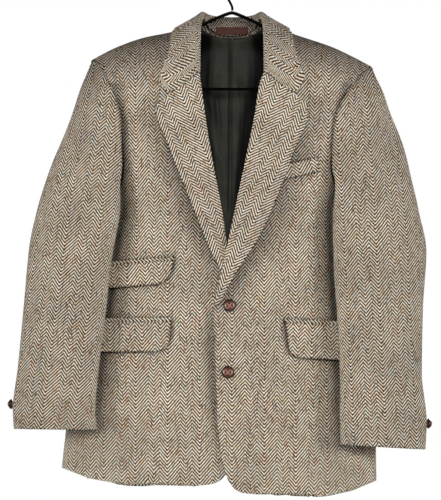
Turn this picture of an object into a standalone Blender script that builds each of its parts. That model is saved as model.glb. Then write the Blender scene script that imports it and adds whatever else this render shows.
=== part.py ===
"""A tweed hacking jacket hanging on a plain hanger.

Metres, +Z up. The front of the jacket faces -Y and the wearer's left is +X. The origin is the inside
of the hook's top, where it rests on its rod. A drop is a height below the top edge of the collar, and
an out is a distance from the middle of the jacket towards the side that is being made.
"""

import math
from collections import namedtuple

import bmesh
import bpy
from mathutils import Vector

OBJECT = "hacking_jacket_on_hanger"

# Driving sizes.
ROD_TO_COLLAR = 0.0874
CLOTH = 0.0022
DOUBLED_CLOTH = 0.0030
LINING = 0.0010
LINING_STANDS_IN = 0.0070
SEAM = 0.0006
SHOULDER_SEAM = 0.0004
SHOULDER_TIP_ROOM = 0.019
FRONT_UNDERARM_ROOM = 0.018
BACK_UNDERARM_ROOM = 0.030
ARMHOLE_SEAM = 0.0028
SHOULDER_ROUND = 0.060
SHOULDER_FALL = 0.25
PANEL_WIDTH = 0.2
OVERLAP_LIFT = 0.0085
PROBE = 0.002
PROBE_TURN = 4
PROBE_SHARE = 0.01
ARMHOLE_FOOT_ROW = 0.42
SHOULDER_ROWS = 0.22
HEM_ROWS = 0.72
WIRE = 0.0025
HOOK_WIRE = 0.0021
HOOK_BEND = 0.0220
BAR_DROP = 0.124
BUTTON_WIDTH = 0.0215
BUTTON_HEIGHT = 0.0085
CUFF_BUTTON_WIDTH = 0.0165
CUFF_BUTTON_HEIGHT = 0.0080
CUFF_BUTTON_STANDS_OUT = 0.0012

RIGHT = "right"
LEFT = "left"
SIGN = {RIGHT: -1.0, LEFT: 1.0}

# The trunk is a flattened tube. Its rings are half ellipses that meet at the side.
Ring = namedtuple("Ring", "drop half_width centre front back side")
TRUNK = (
    Ring(0.000, 0.240, 0.000, 0.050, 0.054, 0.000),
    Ring(0.180, 0.236, 0.000, 0.058, 0.057, 0.002),
    Ring(0.288, 0.217, 0.000, 0.060, 0.058, 0.008),
    Ring(0.340, 0.219, -0.003, 0.059, 0.057, 0.016),
    Ring(0.420, 0.236, -0.006, 0.056, 0.055, 0.020),
    Ring(0.560, 0.252, -0.012, 0.052, 0.052, 0.020),
    Ring(0.830, 0.270, -0.025, 0.046, 0.050, 0.014),
)

# The shoulder line, from above the neck to the sleeve.
Ridge = namedtuple("Ridge", "out drop")
SHOULDER = {
    RIGHT: (
        Ridge(0.000, -0.008),
        Ridge(0.052, 0.008),
        Ridge(0.097, 0.025),
        Ridge(0.150, 0.036),
        Ridge(0.194, 0.051),
        Ridge(0.240, 0.074),
    ),
    LEFT: (
        Ridge(0.000, -0.008),
        Ridge(0.052, 0.009),
        Ridge(0.100, 0.028),
        Ridge(0.171, 0.052),
        Ridge(0.206, 0.068),
        Ridge(0.244, 0.088),
    ),
}

# The armhole, once round: 0 is the underarm, 90 the front, 180 the shoulder and 270 the back.
Scye = namedtuple("Scye", "around turn drop")
ARMHOLE = {
    RIGHT: (
        Scye(0, 62, 0.288),
        Scye(45, 57, 0.250),
        Scye(90, 53, 0.180),
        Scye(135, 61, 0.114),
        Scye(180, 79, 0.0745),
        Scye(225, 117, 0.114),
        Scye(270, 126, 0.180),
        Scye(315, 110, 0.246),
        Scye(360, 62, 0.288),
    ),
    LEFT: (
        Scye(0, 56, 0.292),
        Scye(45, 50, 0.254),
        Scye(90, 47, 0.186),
        Scye(135, 57, 0.124),
        Scye(180, 81, 0.0870),
        Scye(225, 118, 0.124),
        Scye(270, 127, 0.186),
        Scye(315, 110, 0.250),
        Scye(360, 56, 0.292),
    ),
}

# The side seam, as the turn round the trunk from the middle of the front.
SideSeam = namedtuple("SideSeam", "row turn")
SIDE_SEAM = (SideSeam(0.42, 0.0), SideSeam(0.52, 0.45), SideSeam(0.68, 0.90), SideSeam(1.00, 1.0))

# The inner edge of each front, from the neck by the fold of the lapel to the cut-away hem.
Edge = namedtuple("Edge", "row out drop")
FRONT_EDGE = {
    RIGHT: (
        Edge(0.00, 0.0625, 0.014),
        Edge(0.10, 0.0625, 0.060),
        Edge(0.18, 0.0590, 0.100),
        Edge(0.28, 0.0490, 0.165),
        Edge(0.36, 0.0390, 0.235),
        Edge(0.42, 0.0280, 0.288),
        Edge(0.50, 0.0170, 0.354),
        Edge(0.60, 0.0030, 0.437),
        Edge(0.70, -0.0120, 0.520),
        Edge(0.84, -0.0130, 0.650),
        Edge(0.90, -0.0030, 0.705),
        Edge(0.93, 0.0100, 0.735),
        Edge(0.955, 0.0270, 0.762),
        Edge(0.98, 0.0580, 0.790),
        Edge(1.00, 0.0970, 0.798),
    ),
    LEFT: (
        Edge(0.00, 0.0625, 0.015),
        Edge(0.10, 0.0625, 0.060),
        Edge(0.18, 0.0600, 0.098),
        Edge(0.28, 0.0410, 0.162),
        Edge(0.36, 0.0280, 0.228),
        Edge(0.42, 0.0150, 0.290),
        Edge(0.50, 0.0010, 0.355),
        Edge(0.58, -0.0120, 0.425),
        Edge(0.66, -0.0300, 0.500),
        Edge(0.75, -0.0280, 0.580),
        Edge(0.84, -0.0225, 0.672),
        Edge(0.88, -0.0165, 0.702),
        Edge(0.92, -0.0030, 0.748),
        Edge(0.95, 0.0130, 0.779),
        Edge(0.975, 0.0400, 0.804),
        Edge(1.00, 0.0900, 0.813),
    ),
}
FRONT_ROWS = (
    0, 0.006, 0.02, 0.045, 0.08, 0.13, 0.19, 0.25, 0.31, 0.365, 0.42,
    0.49, 0.56, 0.63, 0.70, 0.77, 0.83, 0.88, 0.92, 0.955, 0.98, 1.0,
)
BACK_ROWS = (
    0, 0.006, 0.02, 0.045, 0.08, 0.12, 0.16, 0.20, 0.25, 0.30, 0.36, 0.42,
    0.50, 0.58, 0.66, 0.74, 0.82, 0.91, 1.0,
)

Hem = namedtuple("Hem", "out drop")
FRONT_HEM = {
    RIGHT: (
        Hem(0.090, 0.798),
        Hem(0.165, 0.797),
        Hem(0.232, 0.788),
        Hem(0.270, 0.776),
        Hem(0.300, 0.764),
    ),
    LEFT: (
        Hem(0.085, 0.813),
        Hem(0.150, 0.8155),
        Hem(0.198, 0.809),
        Hem(0.225, 0.799),
        Hem(0.250, 0.789),
    ),
}
BACK_HEM = {
    RIGHT: (Hem(-0.03, 0.757), Hem(0.300, 0.761)),
    LEFT: (Hem(-0.03, 0.757), Hem(0.250, 0.784)),
}
BACK_NECK = (Hem(-0.03, 0.036), Hem(0.020, 0.0345), Hem(0.040, 0.0275), Hem(0.060, 0.016))
LINING_TOP = (
    Hem(0.000, 0.0365),
    Hem(0.020, 0.0345),
    Hem(0.040, 0.028),
    Hem(0.058, 0.024),
    Hem(0.100, 0.050),
    Hem(0.190, 0.110),
)
LINING_ROWS = (0, 0.02, 0.05, 0.09, 0.14, 0.21, 0.29, 0.38, 0.48, 0.60, 0.73, 0.86, 1.0)
LINING_FOOT = 0.748
LINING_REACH = 66

# Rings of a sleeve: its inner and its outer edge, how far each stands forward, and its rounding.
SleeveRing = namedtuple(
    "SleeveRing", "along inner inner_drop outer outer_drop stand_off outer_y front back"
)
SLEEVE = {
    RIGHT: (
        SleeveRing(0.00, 0.192, 0.288, 0.236, 0.073, 0.000, 0.000, 0.036, 0.036),
        SleeveRing(0.05, 0.190, 0.303, 0.249, 0.100, 0.006, 0.000, 0.040, 0.036),
        SleeveRing(0.12, 0.189, 0.318, 0.270, 0.152, 0.010, -0.002, 0.042, 0.036),
        SleeveRing(0.20, 0.190, 0.336, 0.291, 0.212, 0.014, -0.005, 0.043, 0.034),
        SleeveRing(0.28, 0.194, 0.358, 0.311, 0.268, 0.016, -0.009, 0.043, 0.033),
        SleeveRing(0.36, 0.200, 0.390, 0.330, 0.325, 0.018, -0.013, 0.042, 0.032),
        SleeveRing(0.46, 0.206, 0.430, 0.345, 0.392, 0.020, -0.018, 0.040, 0.031),
        SleeveRing(0.60, 0.215, 0.510, 0.354, 0.490, 0.022, -0.024, 0.037, 0.029),
        SleeveRing(0.80, 0.227, 0.606, 0.364, 0.596, 0.024, -0.030, 0.033, 0.027),
        SleeveRing(0.93, 0.232, 0.672, 0.3725, 0.668, 0.026, -0.034, 0.029, 0.025),
        SleeveRing(1.00, 0.229, 0.702, 0.371, 0.701, 0.027, -0.036, 0.028, 0.024),
    ),
    LEFT: (
        SleeveRing(0.00, 0.180, 0.292, 0.240, 0.086, 0.000, 0.000, 0.036, 0.036),
        SleeveRing(0.05, 0.175, 0.306, 0.252, 0.116, 0.006, 0.000, 0.040, 0.036),
        SleeveRing(0.12, 0.172, 0.322, 0.272, 0.164, 0.010, -0.002, 0.042, 0.036),
        SleeveRing(0.20, 0.171, 0.340, 0.290, 0.214, 0.014, -0.005, 0.043, 0.034),
        SleeveRing(0.28, 0.171, 0.364, 0.303, 0.272, 0.016, -0.009, 0.043, 0.033),
        SleeveRing(0.36, 0.172, 0.396, 0.317, 0.330, 0.018, -0.013, 0.042, 0.032),
        SleeveRing(0.46, 0.173, 0.436, 0.331, 0.400, 0.020, -0.018, 0.040, 0.031),
        SleeveRing(0.60, 0.179, 0.520, 0.325, 0.498, 0.022, -0.024, 0.037, 0.029),
        SleeveRing(0.80, 0.183, 0.624, 0.323, 0.608, 0.024, -0.030, 0.033, 0.027),
        SleeveRing(0.93, 0.183, 0.694, 0.331, 0.690, 0.026, -0.034, 0.029, 0.025),
        SleeveRing(1.00, 0.184, 0.727, 0.329, 0.736, 0.027, -0.036, 0.028, 0.024),
    ),
}
SLEEVE_ROWS = (
    SEAM / 0.18, 0.02, 0.05, 0.085, 0.12, 0.16, 0.20, 0.25, 0.30, 0.36, 0.43, 0.52, 0.62, 0.74, 0.87, 1.0,
)
SLEEVE_TRIM = 1.5
LEAVES_ARMHOLE = 0.26
BODY_CLEARANCE = 0.0090
POCKET_CLEARANCE = 0.0140
UNDERARM_TUCK = 0.034
UPPER_SLEEVE = (-18, 205)
UNDER_SLEEVE = (205, 342)

# The collar, from the middle of the back to its front end: the foot of the stand, the fold, and the
# outer edge. A clearance is how far the edge stands off the shoulder or the front that it lies on.
CollarRow = namedtuple(
    "CollarRow",
    "run foot_out foot_y foot_drop fold_out fold_y fold_drop edge_out edge_y edge_drop dip",
)
COLLAR = (
    CollarRow(0.00, 0.000, 0.0455, 0.031, 0.000, 0.0490, 0.000, 0.000, 0.0640, 0.046, 0.0),
    CollarRow(0.10, 0.018, 0.0430, 0.0295, 0.020, 0.0465, -0.001, 0.032, 0.0620, 0.045, 0.0),
    CollarRow(0.22, 0.034, 0.0320, 0.021, 0.037, 0.0360, -0.004, 0.064, 0.0510, 0.038, 0.0),
    CollarRow(0.35, 0.043, 0.0160, 0.009, 0.0475, 0.0170, -0.0085, 0.086, 0.0280, 0.027, 0.0),
    CollarRow(0.48, 0.048, -0.0020, 0.003, 0.0535, -0.0040, -0.003, 0.097, 0.0000, 0.0190, 0.0),
    CollarRow(0.60, 0.0515, -0.0180, 0.012, 0.0575, -0.0230, 0.011, 0.101, -0.0260, 0.036, 0.0),
    CollarRow(0.74, 0.0530, -0.0350, 0.035, 0.0580, -0.0410, 0.036, 0.106, -0.0450, 0.062, 0.002),
    CollarRow(0.88, 0.0535, -0.0450, 0.066, 0.0580, -0.0510, 0.068, 0.117, -0.0520, 0.088, 0.012),
    CollarRow(1.00, 0.0535, -0.0500, 0.094, 0.0570, -0.0560, 0.096, 0.1240, -0.0550, 0.105, 0.027),
)
COLLAR_RUNS = 14
FALL_STEPS = (0.25, 0.5, 0.72, 1.0)
FALL_BEND = 0.72
STAND_STEPS = (0.0, 0.55)
FOLD_ROUND = 0.0035
FOLD_BACK = 0.6
FOLD_DOWN = 0.9
FALL_STARTS = 3
COLLAR_LIFT = 0.0056

# A lapel: its fold and its outer edge, from the gorge seam down.
LapelRow = namedtuple("LapelRow", "run fold_out fold_drop edge_out edge_drop")
LAPEL = {
    RIGHT: (
        LapelRow(0.00, 0.0570, 0.0995, 0.1035, 0.1335),
        LapelRow(0.10, 0.0545, 0.1200, 0.1280, 0.1580),
        LapelRow(0.30, 0.0465, 0.1800, 0.1070, 0.2170),
        LapelRow(0.50, 0.0340, 0.2550, 0.0830, 0.2790),
        LapelRow(0.70, 0.0200, 0.3300, 0.0610, 0.3340),
        LapelRow(0.85, 0.0100, 0.3950, 0.0390, 0.3900),
        LapelRow(1.00, 0.0010, 0.4450, 0.0110, 0.4480),
    ),
    LEFT: (
        LapelRow(0.00, 0.0560, 0.0990, 0.1030, 0.1335),
        LapelRow(0.10, 0.0500, 0.1150, 0.1290, 0.1570),
        LapelRow(0.30, 0.0395, 0.1750, 0.1020, 0.2330),
        LapelRow(0.50, 0.0240, 0.2500, 0.0740, 0.3080),
        LapelRow(0.70, 0.0060, 0.3350, 0.0410, 0.3800),
        LapelRow(0.85, -0.0100, 0.4100, 0.0080, 0.4320),
        LapelRow(1.00, -0.0280, 0.4900, -0.0240, 0.4930),
    ),
}
LAPEL_ROWS = 15
LAPEL_STEPS = 4
LAPEL_LIFT = 0.0012
LAPEL_SPRING = {RIGHT: 0.0035, LEFT: 0.0050}
LAPEL_BELLY = 0.7

# Flaps, jets and the welt are laid on a front: the top corner nearer the opening, and the slope.
Patch = namedtuple("Patch", "name side out drop width height slope lean round_corner lift")
PATCHES = (
    Patch("ticket_flap", RIGHT, 0.1000, 0.4150, 0.108, 0.0385, 0.085, 0.030, 0.026, 0.0006),
    Patch("hip_flap_right", RIGHT, 0.1045, 0.5190, 0.128, 0.0505, 0.012, 0.000, 0.024, 0.0006),
    Patch("hip_flap_left", LEFT, 0.0910, 0.5210, 0.128, 0.0590, 0.045, 0.050, 0.022, 0.0006),
    Patch("ticket_jet", RIGHT, 0.0985, 0.4095, 0.111, 0.0050, 0.085, 0.000, 0.000, 0.0006),
    Patch("hip_jet_right", RIGHT, 0.1030, 0.5135, 0.131, 0.0050, 0.012, 0.000, 0.000, 0.0006),
    Patch("hip_jet_left", LEFT, 0.0895, 0.5155, 0.131, 0.0050, 0.045, 0.000, 0.000, 0.0006),
    Patch("breast_welt", LEFT, 0.0700, 0.2580, 0.074, 0.0230, -0.230, 0.060, 0.000, 0.0004),
)

FrontButton = namedtuple("FrontButton", "name out drop")
FRONT_BUTTONS = (
    FrontButton("front_button_upper", -0.004, 0.492),
    FrontButton("front_button_lower", -0.007, 0.605),
)
CuffButton = namedtuple("CuffButton", "name side along around")
CUFF_BUTTONS = (
    CuffButton("cuff_button_right", RIGHT, 0.915, 184),
    CuffButton("cuff_button_left", LEFT, 0.935, 184),
)
# Half a button's section, as shares of its radius and of its thickness.
BUTTON_PROFILE = (
    (0.0, 0.5), (0.30, 0.47), (0.62, 0.36), (0.86, 0.14),
    (1.0, -0.12), (0.90, -0.38), (0.62, -0.5), (0.0, -0.5),
)

LABEL_WIDTH = 0.055
LABEL_TOP = 0.45
LABEL_FOOT = 0.05
LABEL_THICK = 0.0007
LABEL_CLEAR = 0.0024
LABEL_BEND_RUN = 0.10 / 0.019

ARM_BELOW_SHOULDER = 0.0050
APEX_DROP = -0.0065
ARM_LEAVES_NECK = 0.054
ARM_REACH = 0.206
ARM_POINTS = (0.006, 0.018, 0.036, 0.054, 0.066, 0.080, 0.095, 0.115, 0.140, 0.165, 0.188, ARM_REACH)
BAR_BEND = ((0.2165, 0.020), (0.2195, 0.030), (0.2160, 0.040))
BAR_START = (0.0065, 0.0085)
BAR_CORNER = 0.196
BAR_CORNER_RISE = 0.004
BAR_RUN = 0.182
NECK_BEND = 1.15
APEX_ROUND = 0.0004
HOOK_NECK = (
    (0.0008, -0.0775), (0.0004, -0.0720), (-0.0030, -0.0640), (-0.0100, -0.0520), (-0.0175, -0.0390),
)
HOOK_TURN = (196, -32)
HOOK_STEPS = 14


def material(name, colour, roughness, metallic=0.0):
    made = bpy.data.materials.new(name)
    made.use_nodes = True
    shader = made.node_tree.nodes["Principled BSDF"]
    shader.inputs["Base Color"].default_value = (*colour, 1.0)
    shader.inputs["Roughness"].default_value = roughness
    shader.inputs["Metallic"].default_value = metallic
    return made


def at_row(rows, place):
    """The columns after the first, at a place in the first column, smooth and without overshoot."""
    places = [row[0] for row in rows]
    place = min(max(place, places[0]), places[-1])
    low = max(i for i in range(len(rows) - 1) if places[i] <= place)
    width = places[low + 1] - places[low]
    t = (place - places[low]) / width
    found = []
    for column in range(1, len(rows[0])):
        slopes = [
            (rows[i + 1][column] - rows[i][column]) / (places[i + 1] - places[i])
            for i in range(len(rows) - 1)
        ]
        start = tangent(slopes, low) * width
        end = tangent(slopes, low + 1) * width
        a, b = rows[low][column], rows[low + 1][column]
        found.append(
            a * (2 * t**3 - 3 * t**2 + 1) + start * (t**3 - 2 * t**2 + t)
            + b * (3 * t**2 - 2 * t**3) + end * (t**3 - t**2)
        )
    return found[0] if len(found) == 1 else found


def tangent(slopes, i):
    """The slope of a smooth line at point i, level at a turning point."""
    if i == 0 or i == len(slopes):
        return slopes[min(i, len(slopes) - 1)]
    before, after = slopes[i - 1], slopes[i]
    if before * after <= 0:
        return 0.0
    return 2 * before * after / (before + after)


def smooth(low, high, value):
    t = min(max((value - low) / (high - low), 0.0), 1.0)
    return t * t * (3 - 2 * t)


def mix(a, b, t):
    return a + (b - a) * t


def height(drop):
    return -ROD_TO_COLLAR - drop


def shoulder_drop(side, out):
    """The drop of the shoulder's inner face."""
    return at_row(SHOULDER[side], max(out, 0.0)) + CLOTH


def shoulder_close(side, out, drop):
    """1 on the trunk, falling to 0 over the rounding of the shoulder."""
    depth = min(max((drop - shoulder_drop(side, out)) / SHOULDER_ROUND, 0.0), 1.0)
    return math.sqrt(1 - (1 - depth) ** 2)


def trunk(side, turn, drop):
    """A point on the trunk's inner face: turn 0 is the middle of the front, 90 the side, 180 the back."""
    half_width, centre, front, back, side_y = at_row(TRUNK, drop)
    angle = math.radians(turn)
    x = centre + SIGN[side] * half_width * math.sin(angle)
    closing = shoulder_close(side, SIGN[side] * x, drop)
    reach = front + side_y if turn <= 90 else back - side_y
    y = side_y * closing - reach * math.cos(angle) * closing
    return Vector((x, y, height(drop)))


def turn_at(side, out, drop):
    """The turn of the trunk's front at a distance out from the middle."""
    half_width, centre, *_ = at_row(TRUNK, drop)
    sine = (out - SIGN[side] * centre) / half_width
    return math.degrees(math.asin(min(max(sine, -1.0), 1.0)))


def overlap_lift(side, out, drop):
    """The left front lies over the right one, so it stands forward near its edge."""
    if side == RIGHT:
        return 0.0
    return OVERLAP_LIFT * (1 - smooth(0.02, 0.13, out)) * smooth(0.25, 0.40, drop)


def front_face(side, out, drop):
    """A point of a front's inner face."""
    point = trunk(side, turn_at(side, out, drop), drop)
    point.y -= overlap_lift(side, out, drop)
    return point


def back_face(side, out, drop):
    """A point of a back's inner face."""
    return trunk(side, 180 - turn_at(side, out, drop), drop)


def normal_at(face, side, out, drop):
    """The direction out of the jacket at a point of front_face or back_face."""
    across = face(side, out + PROBE, drop) - face(side, out - PROBE, drop)
    down = face(side, out, drop + PROBE) - face(side, out, drop - PROBE)
    normal = across.cross(down).normalized()
    outwards = -1 if face is front_face else 1
    return normal if normal.y * outwards > 0 else -normal


def on_front(side, out, drop, lift):
    """A point of a front's outer face, moved out by lift."""
    return front_face(side, out, drop) + normal_at(front_face, side, out, drop) * (CLOTH + lift)


def armhole(side, around):
    return at_row(ARMHOLE[side], around % 360 if around != 360 else 360)


def side_turn(side, row):
    foot = ARMHOLE[side][0].turn
    return mix(foot, 90, at_row(SIDE_SEAM, row))


def outer_edge(side, row, hem_drop, shoulder_around, foot_around):
    """Turn and drop of a panel's outer edge: down the armhole, then down the side seam."""
    if row <= ARMHOLE_FOOT_ROW:
        return armhole(side, mix(shoulder_around, foot_around, row / ARMHOLE_FOOT_ROW))
    foot = ARMHOLE[side][0].drop
    down = (row - ARMHOLE_FOOT_ROW) / (1 - ARMHOLE_FOOT_ROW)
    return side_turn(side, row), mix(foot, hem_drop, down)


def kept_width(row, underarm_room):
    """The share of a panel's width that is cloth: less along the armhole and least at the underarm."""
    seam = mix(ARMHOLE_SEAM, SEAM, smooth(0.42, 0.46, row)) / PANEL_WIDTH
    return 1 - seam - underarm_room * smooth(0.24, 0.36, row) * (1 - smooth(0.42, 0.50, row))


def front_point(side, across, row):
    across *= kept_width(row, FRONT_UNDERARM_ROOM)
    out, inner_drop = at_row(FRONT_EDGE[side], row)
    hem_drop = FRONT_HEM[side][-1].drop
    outer_turn, outer_drop = outer_edge(side, row, hem_drop, 180, 0)
    inner_turn = turn_at(side, out, inner_drop)
    turn = mix(inner_turn, outer_turn, across)
    drop = mix(inner_drop, outer_drop, across)
    here = SIGN[side] * trunk(side, turn, drop).x
    outer = SIGN[side] * trunk(side, outer_turn, outer_drop).x
    depth = mix(inner_drop - shoulder_drop(side, out), outer_drop - shoulder_drop(side, outer), across)
    below = shoulder_drop(side, here) + max(depth, SHOULDER_FALL * row * (1 - across**3))
    drop += (below - drop) * (1 - smooth(0.0, SHOULDER_ROWS, row))
    drop += (at_row(FRONT_HEM[side], here) - drop) * smooth(HEM_ROWS, 1.0, row) ** 2
    point = trunk(side, turn, drop)
    point.y -= overlap_lift(side, SIGN[side] * point.x, drop)
    if row == 0:
        point.y = -SHOULDER_SEAM
    return point


def back_point(side, across, row):
    across *= kept_width(row, BACK_UNDERARM_ROOM) - SHOULDER_TIP_ROOM * (1 - smooth(0.02, 0.10, row))
    hem_drop = BACK_HEM[side][-1].drop
    outer_turn, outer_drop = outer_edge(side, row, hem_drop, 180, 360)
    inner_drop = mix(BACK_NECK[0].drop, BACK_HEM[side][0].drop, row)
    turn = mix(180, outer_turn, across)
    drop = mix(inner_drop, outer_drop, across)
    here = SIGN[side] * trunk(side, turn, drop).x
    top = max(at_row(BACK_NECK, here), shoulder_drop(side, here))
    outer = SIGN[side] * trunk(side, outer_turn, outer_drop).x
    depth = mix(inner_drop - BACK_NECK[0].drop, outer_drop - shoulder_drop(side, outer), across)
    below = top + max(depth, SHOULDER_FALL * row * (1 - across**3))
    drop += (below - drop) * (1 - smooth(0.0, SHOULDER_ROWS, row))
    drop += (at_row(BACK_HEM[side], here) - drop) * smooth(HEM_ROWS, 1.0, row) ** 2
    point = trunk(side, turn, drop)
    if row == 0 and here >= BACK_NECK[-1].out:
        point.y = SHOULDER_SEAM
    return point


def lining_point(across, row):
    """across runs from -1 at the right to 1 at the left."""
    side = RIGHT if across < 0 else LEFT
    turn = 180 - LINING_REACH * abs(across)
    top = at_row(LINING_TOP, SIGN[side] * trunk(side, turn, 0.1).x)
    drop = mix(top, LINING_FOOT, row)
    out = SIGN[side] * trunk(side, turn, drop).x
    return back_face(side, out, drop) - normal_at(back_face, side, out, drop) * LINING_STANDS_IN


def sleeve_point(side, around, along):
    """A point on a sleeve: around as for the armhole, along from the armhole to the cuff."""
    inner, inner_drop, outer, outer_drop, stand_off, outer_y, front, back = at_row(SLEEVE[side], along)
    angle = math.radians(around)
    share = (1 - math.cos(angle)) / 2
    inner_y = front_face(side, inner, inner_drop).y - stand_off
    depth = front if math.sin(angle) >= 0 else back
    out = mix(inner, outer, share)
    out += UNDERARM_TUCK * max(-math.sin(angle), 0.0) * (1 - share) * 2 * (1 - smooth(0.25, 0.6, along))
    drop = mix(inner_drop, outer_drop, share)
    y = mix(inner_y, outer_y, share) - depth * math.sin(angle)
    ring = Vector((SIGN[side] * out, y, height(drop)))
    seam = trunk(side, *armhole(side, around))
    leaving = 1 - max(1 - along / LEAVES_ARMHOLE, 0.0) ** 2
    point = seam.lerp(ring, leaving)
    out = SIGN[side] * point.x
    drop = -ROD_TO_COLLAR - point.z
    limit = front_face(side, out, drop).y - mix(BODY_CLEARANCE, POCKET_CLEARANCE, smooth(0.38, 0.47, drop))
    facing_front = smooth(-0.1, 0.15, math.sin(angle)) * smooth(0.02, 0.2, 1 - share)
    below = smooth(0.0, 0.03, along) * max(smooth(0.245, 0.285, drop), facing_front)
    half_width, centre, *_ = at_row(TRUNK, drop)
    over = 1 - smooth(half_width + 0.006, half_width + 0.020, out - SIGN[side] * centre)
    point.y = mix(point.y, min(point.y, limit), below * over)
    return point


def collar_row(run):
    """The section of the collar at a run of -1, its right end, to 1, its left end."""
    side = RIGHT if run < 0 else LEFT
    row = CollarRow(abs(run), *at_row(COLLAR, abs(run)))
    sign = SIGN[side]
    foot = Vector((sign * row.foot_out, row.foot_y, height(row.foot_drop)))
    fold = Vector((sign * row.fold_out, row.fold_y, height(row.fold_drop)))
    edge = Vector((sign * row.edge_out, row.edge_y, height(row.edge_drop)))
    points = [foot.lerp(fold, step) for step in STAND_STEPS]
    across = edge - fold
    across.z = 0
    across = across.normalized() * FOLD_ROUND
    points.append(fold - across * FOLD_BACK - Vector((0, 0, FOLD_ROUND * FOLD_DOWN)))
    points.append(fold)
    points.append(fold + across)
    for step in FALL_STEPS:
        point = (fold + across).lerp(edge, step)
        bend = step / FALL_BEND if step <= FALL_BEND else (1 - step) / (1 - FALL_BEND)
        point.z -= row.dip * bend
        points.append(point)
    return points


def collar_clear(point, lift):
    """A point of the collar's fall, moved clear of the front, the shoulder or the back below it."""
    side = RIGHT if point.x < 0 else LEFT
    drop = -ROD_TO_COLLAR - point.z
    out = SIGN[side] * point.x
    if drop < shoulder_drop(side, out) + 0.0005:
        return point
    face = front_face if point.y < 0 else back_face
    normal = normal_at(face, side, out, drop)
    stands_off = (point - face(side, out, drop)).dot(normal)
    return point + normal * max(CLOTH + lift - stands_off, 0.0)


def lapel_point(side, across, run):
    fold_out, fold_drop, edge_out, edge_drop = at_row(LAPEL[side], run)
    out = mix(fold_out, edge_out, across)
    drop = mix(fold_drop, edge_drop, across)
    spring = LAPEL_SPRING[side] * math.sin(math.pi * across * LAPEL_BELLY) * (1 - 0.5 * run)
    return on_front(side, out, drop, DOUBLED_CLOTH + LAPEL_LIFT + spring)


def patch_point(patch, across, down):
    """A point on a flap, a jet or a welt, with its lower corner nearer the opening rounded."""
    out = patch.out + patch.width * across + patch.lean * patch.height * down
    fall = patch.height
    corner = patch.width * across
    if patch.round_corner and corner < patch.round_corner:
        fall -= patch.round_corner - math.sqrt(
            patch.round_corner**2 - (patch.round_corner - corner) ** 2
        )
    drop = patch.drop + patch.slope * patch.width * across + fall * down
    return on_front(patch.side, out, drop, patch.lift + DOUBLED_CLOTH)


def sheet(name, columns, rows, point, thickness, look, flipped=False, outwards=False):
    """A wall of cloth: a grid of points on its outer face, thickened inwards, or on its inner face."""
    mesh = bmesh.new()
    grid = [[mesh.verts.new(point(column, row)) for column in columns] for row in rows]
    for upper, lower in zip(grid, grid[1:]):
        for i in range(len(upper) - 1):
            face = [upper[i], upper[i + 1], lower[i + 1], lower[i]]
            mesh.faces.new(reversed(face) if flipped else face)
    data = bpy.data.meshes.new(name)
    mesh.to_mesh(data)
    mesh.free()
    data.materials.append(look)
    data.shade_smooth()
    made = bpy.data.objects.new(name, data)
    PARTS.objects.link(made)
    wall = made.modifiers.new("Wall", "SOLIDIFY")
    wall.thickness = thickness
    wall.offset = 1 if outwards else -1
    return made


def steps(first, last, count):
    return [mix(first, last, i / count) for i in range(count + 1)]


def tube(name, points, radius, look):
    data = bpy.data.curves.new(name, "CURVE")
    data.dimensions = "3D"
    data.bevel_depth = radius
    data.bevel_resolution = 2
    data.use_fill_caps = True
    spline = data.splines.new("POLY")
    spline.points.add(len(points) - 1)
    for made, point in zip(spline.points, points):
        made.co = (*point, 1)
    data.materials.append(look)
    made = bpy.data.objects.new(name, data)
    PARTS.objects.link(made)
    return made


def button(name, width, thick, place, facing, look):
    """A domed round button, turned about its own axis, with its face looking along facing."""
    profile = [(x * width / 2, 0, z * thick) for x, z in BUTTON_PROFILE]
    data = bpy.data.meshes.new(name)
    data.from_pydata(profile, [(i, i + 1) for i in range(len(profile) - 1)], [])
    data.materials.append(look)
    made = bpy.data.objects.new(name, data)
    PARTS.objects.link(made)
    turned = made.modifiers.new("Turned", "SCREW")
    turned.axis = "Z"
    turned.steps = 20
    turned.render_steps = 20
    turned.use_merge_vertices = True
    turned.merge_threshold = 0.00005
    made.rotation_euler = facing.to_track_quat("Z", "Y").to_euler()
    made.location = place + facing * thick / 2
    return made


def make_trunk(tweed, satin):
    trim = SEAM / PANEL_WIDTH
    for side in (RIGHT, LEFT):
        columns = steps(0.0, 1.0, 12)
        sheet(
            f"front_{side}", columns, FRONT_ROWS,
            lambda across, row, side=side: front_point(side, across, row),
            CLOTH, tweed, flipped=side == LEFT, outwards=True,
        )
        columns = steps(trim, 1.0, 9)
        sheet(
            f"back_{side}", columns, BACK_ROWS,
            lambda across, row, side=side: back_point(side, across, row),
            CLOTH, tweed, flipped=side == RIGHT, outwards=True,
        )
    sheet("back_lining", steps(-1, 1, 12), LINING_ROWS, lining_point, LINING, satin, flipped=True)


def make_sleeves(tweed):
    for side in (RIGHT, LEFT):
        for name, (first, last), count in (
            ("upper_sleeve", UPPER_SLEEVE, 14), ("under_sleeve", UNDER_SLEEVE, 10),
        ):
            sheet(
                f"{name}_{side}", steps(first + SLEEVE_TRIM, last - SLEEVE_TRIM, count), SLEEVE_ROWS,
                lambda around, along, side=side: sleeve_point(side, around, along),
                CLOTH, tweed, flipped=side == LEFT,
            )


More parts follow.
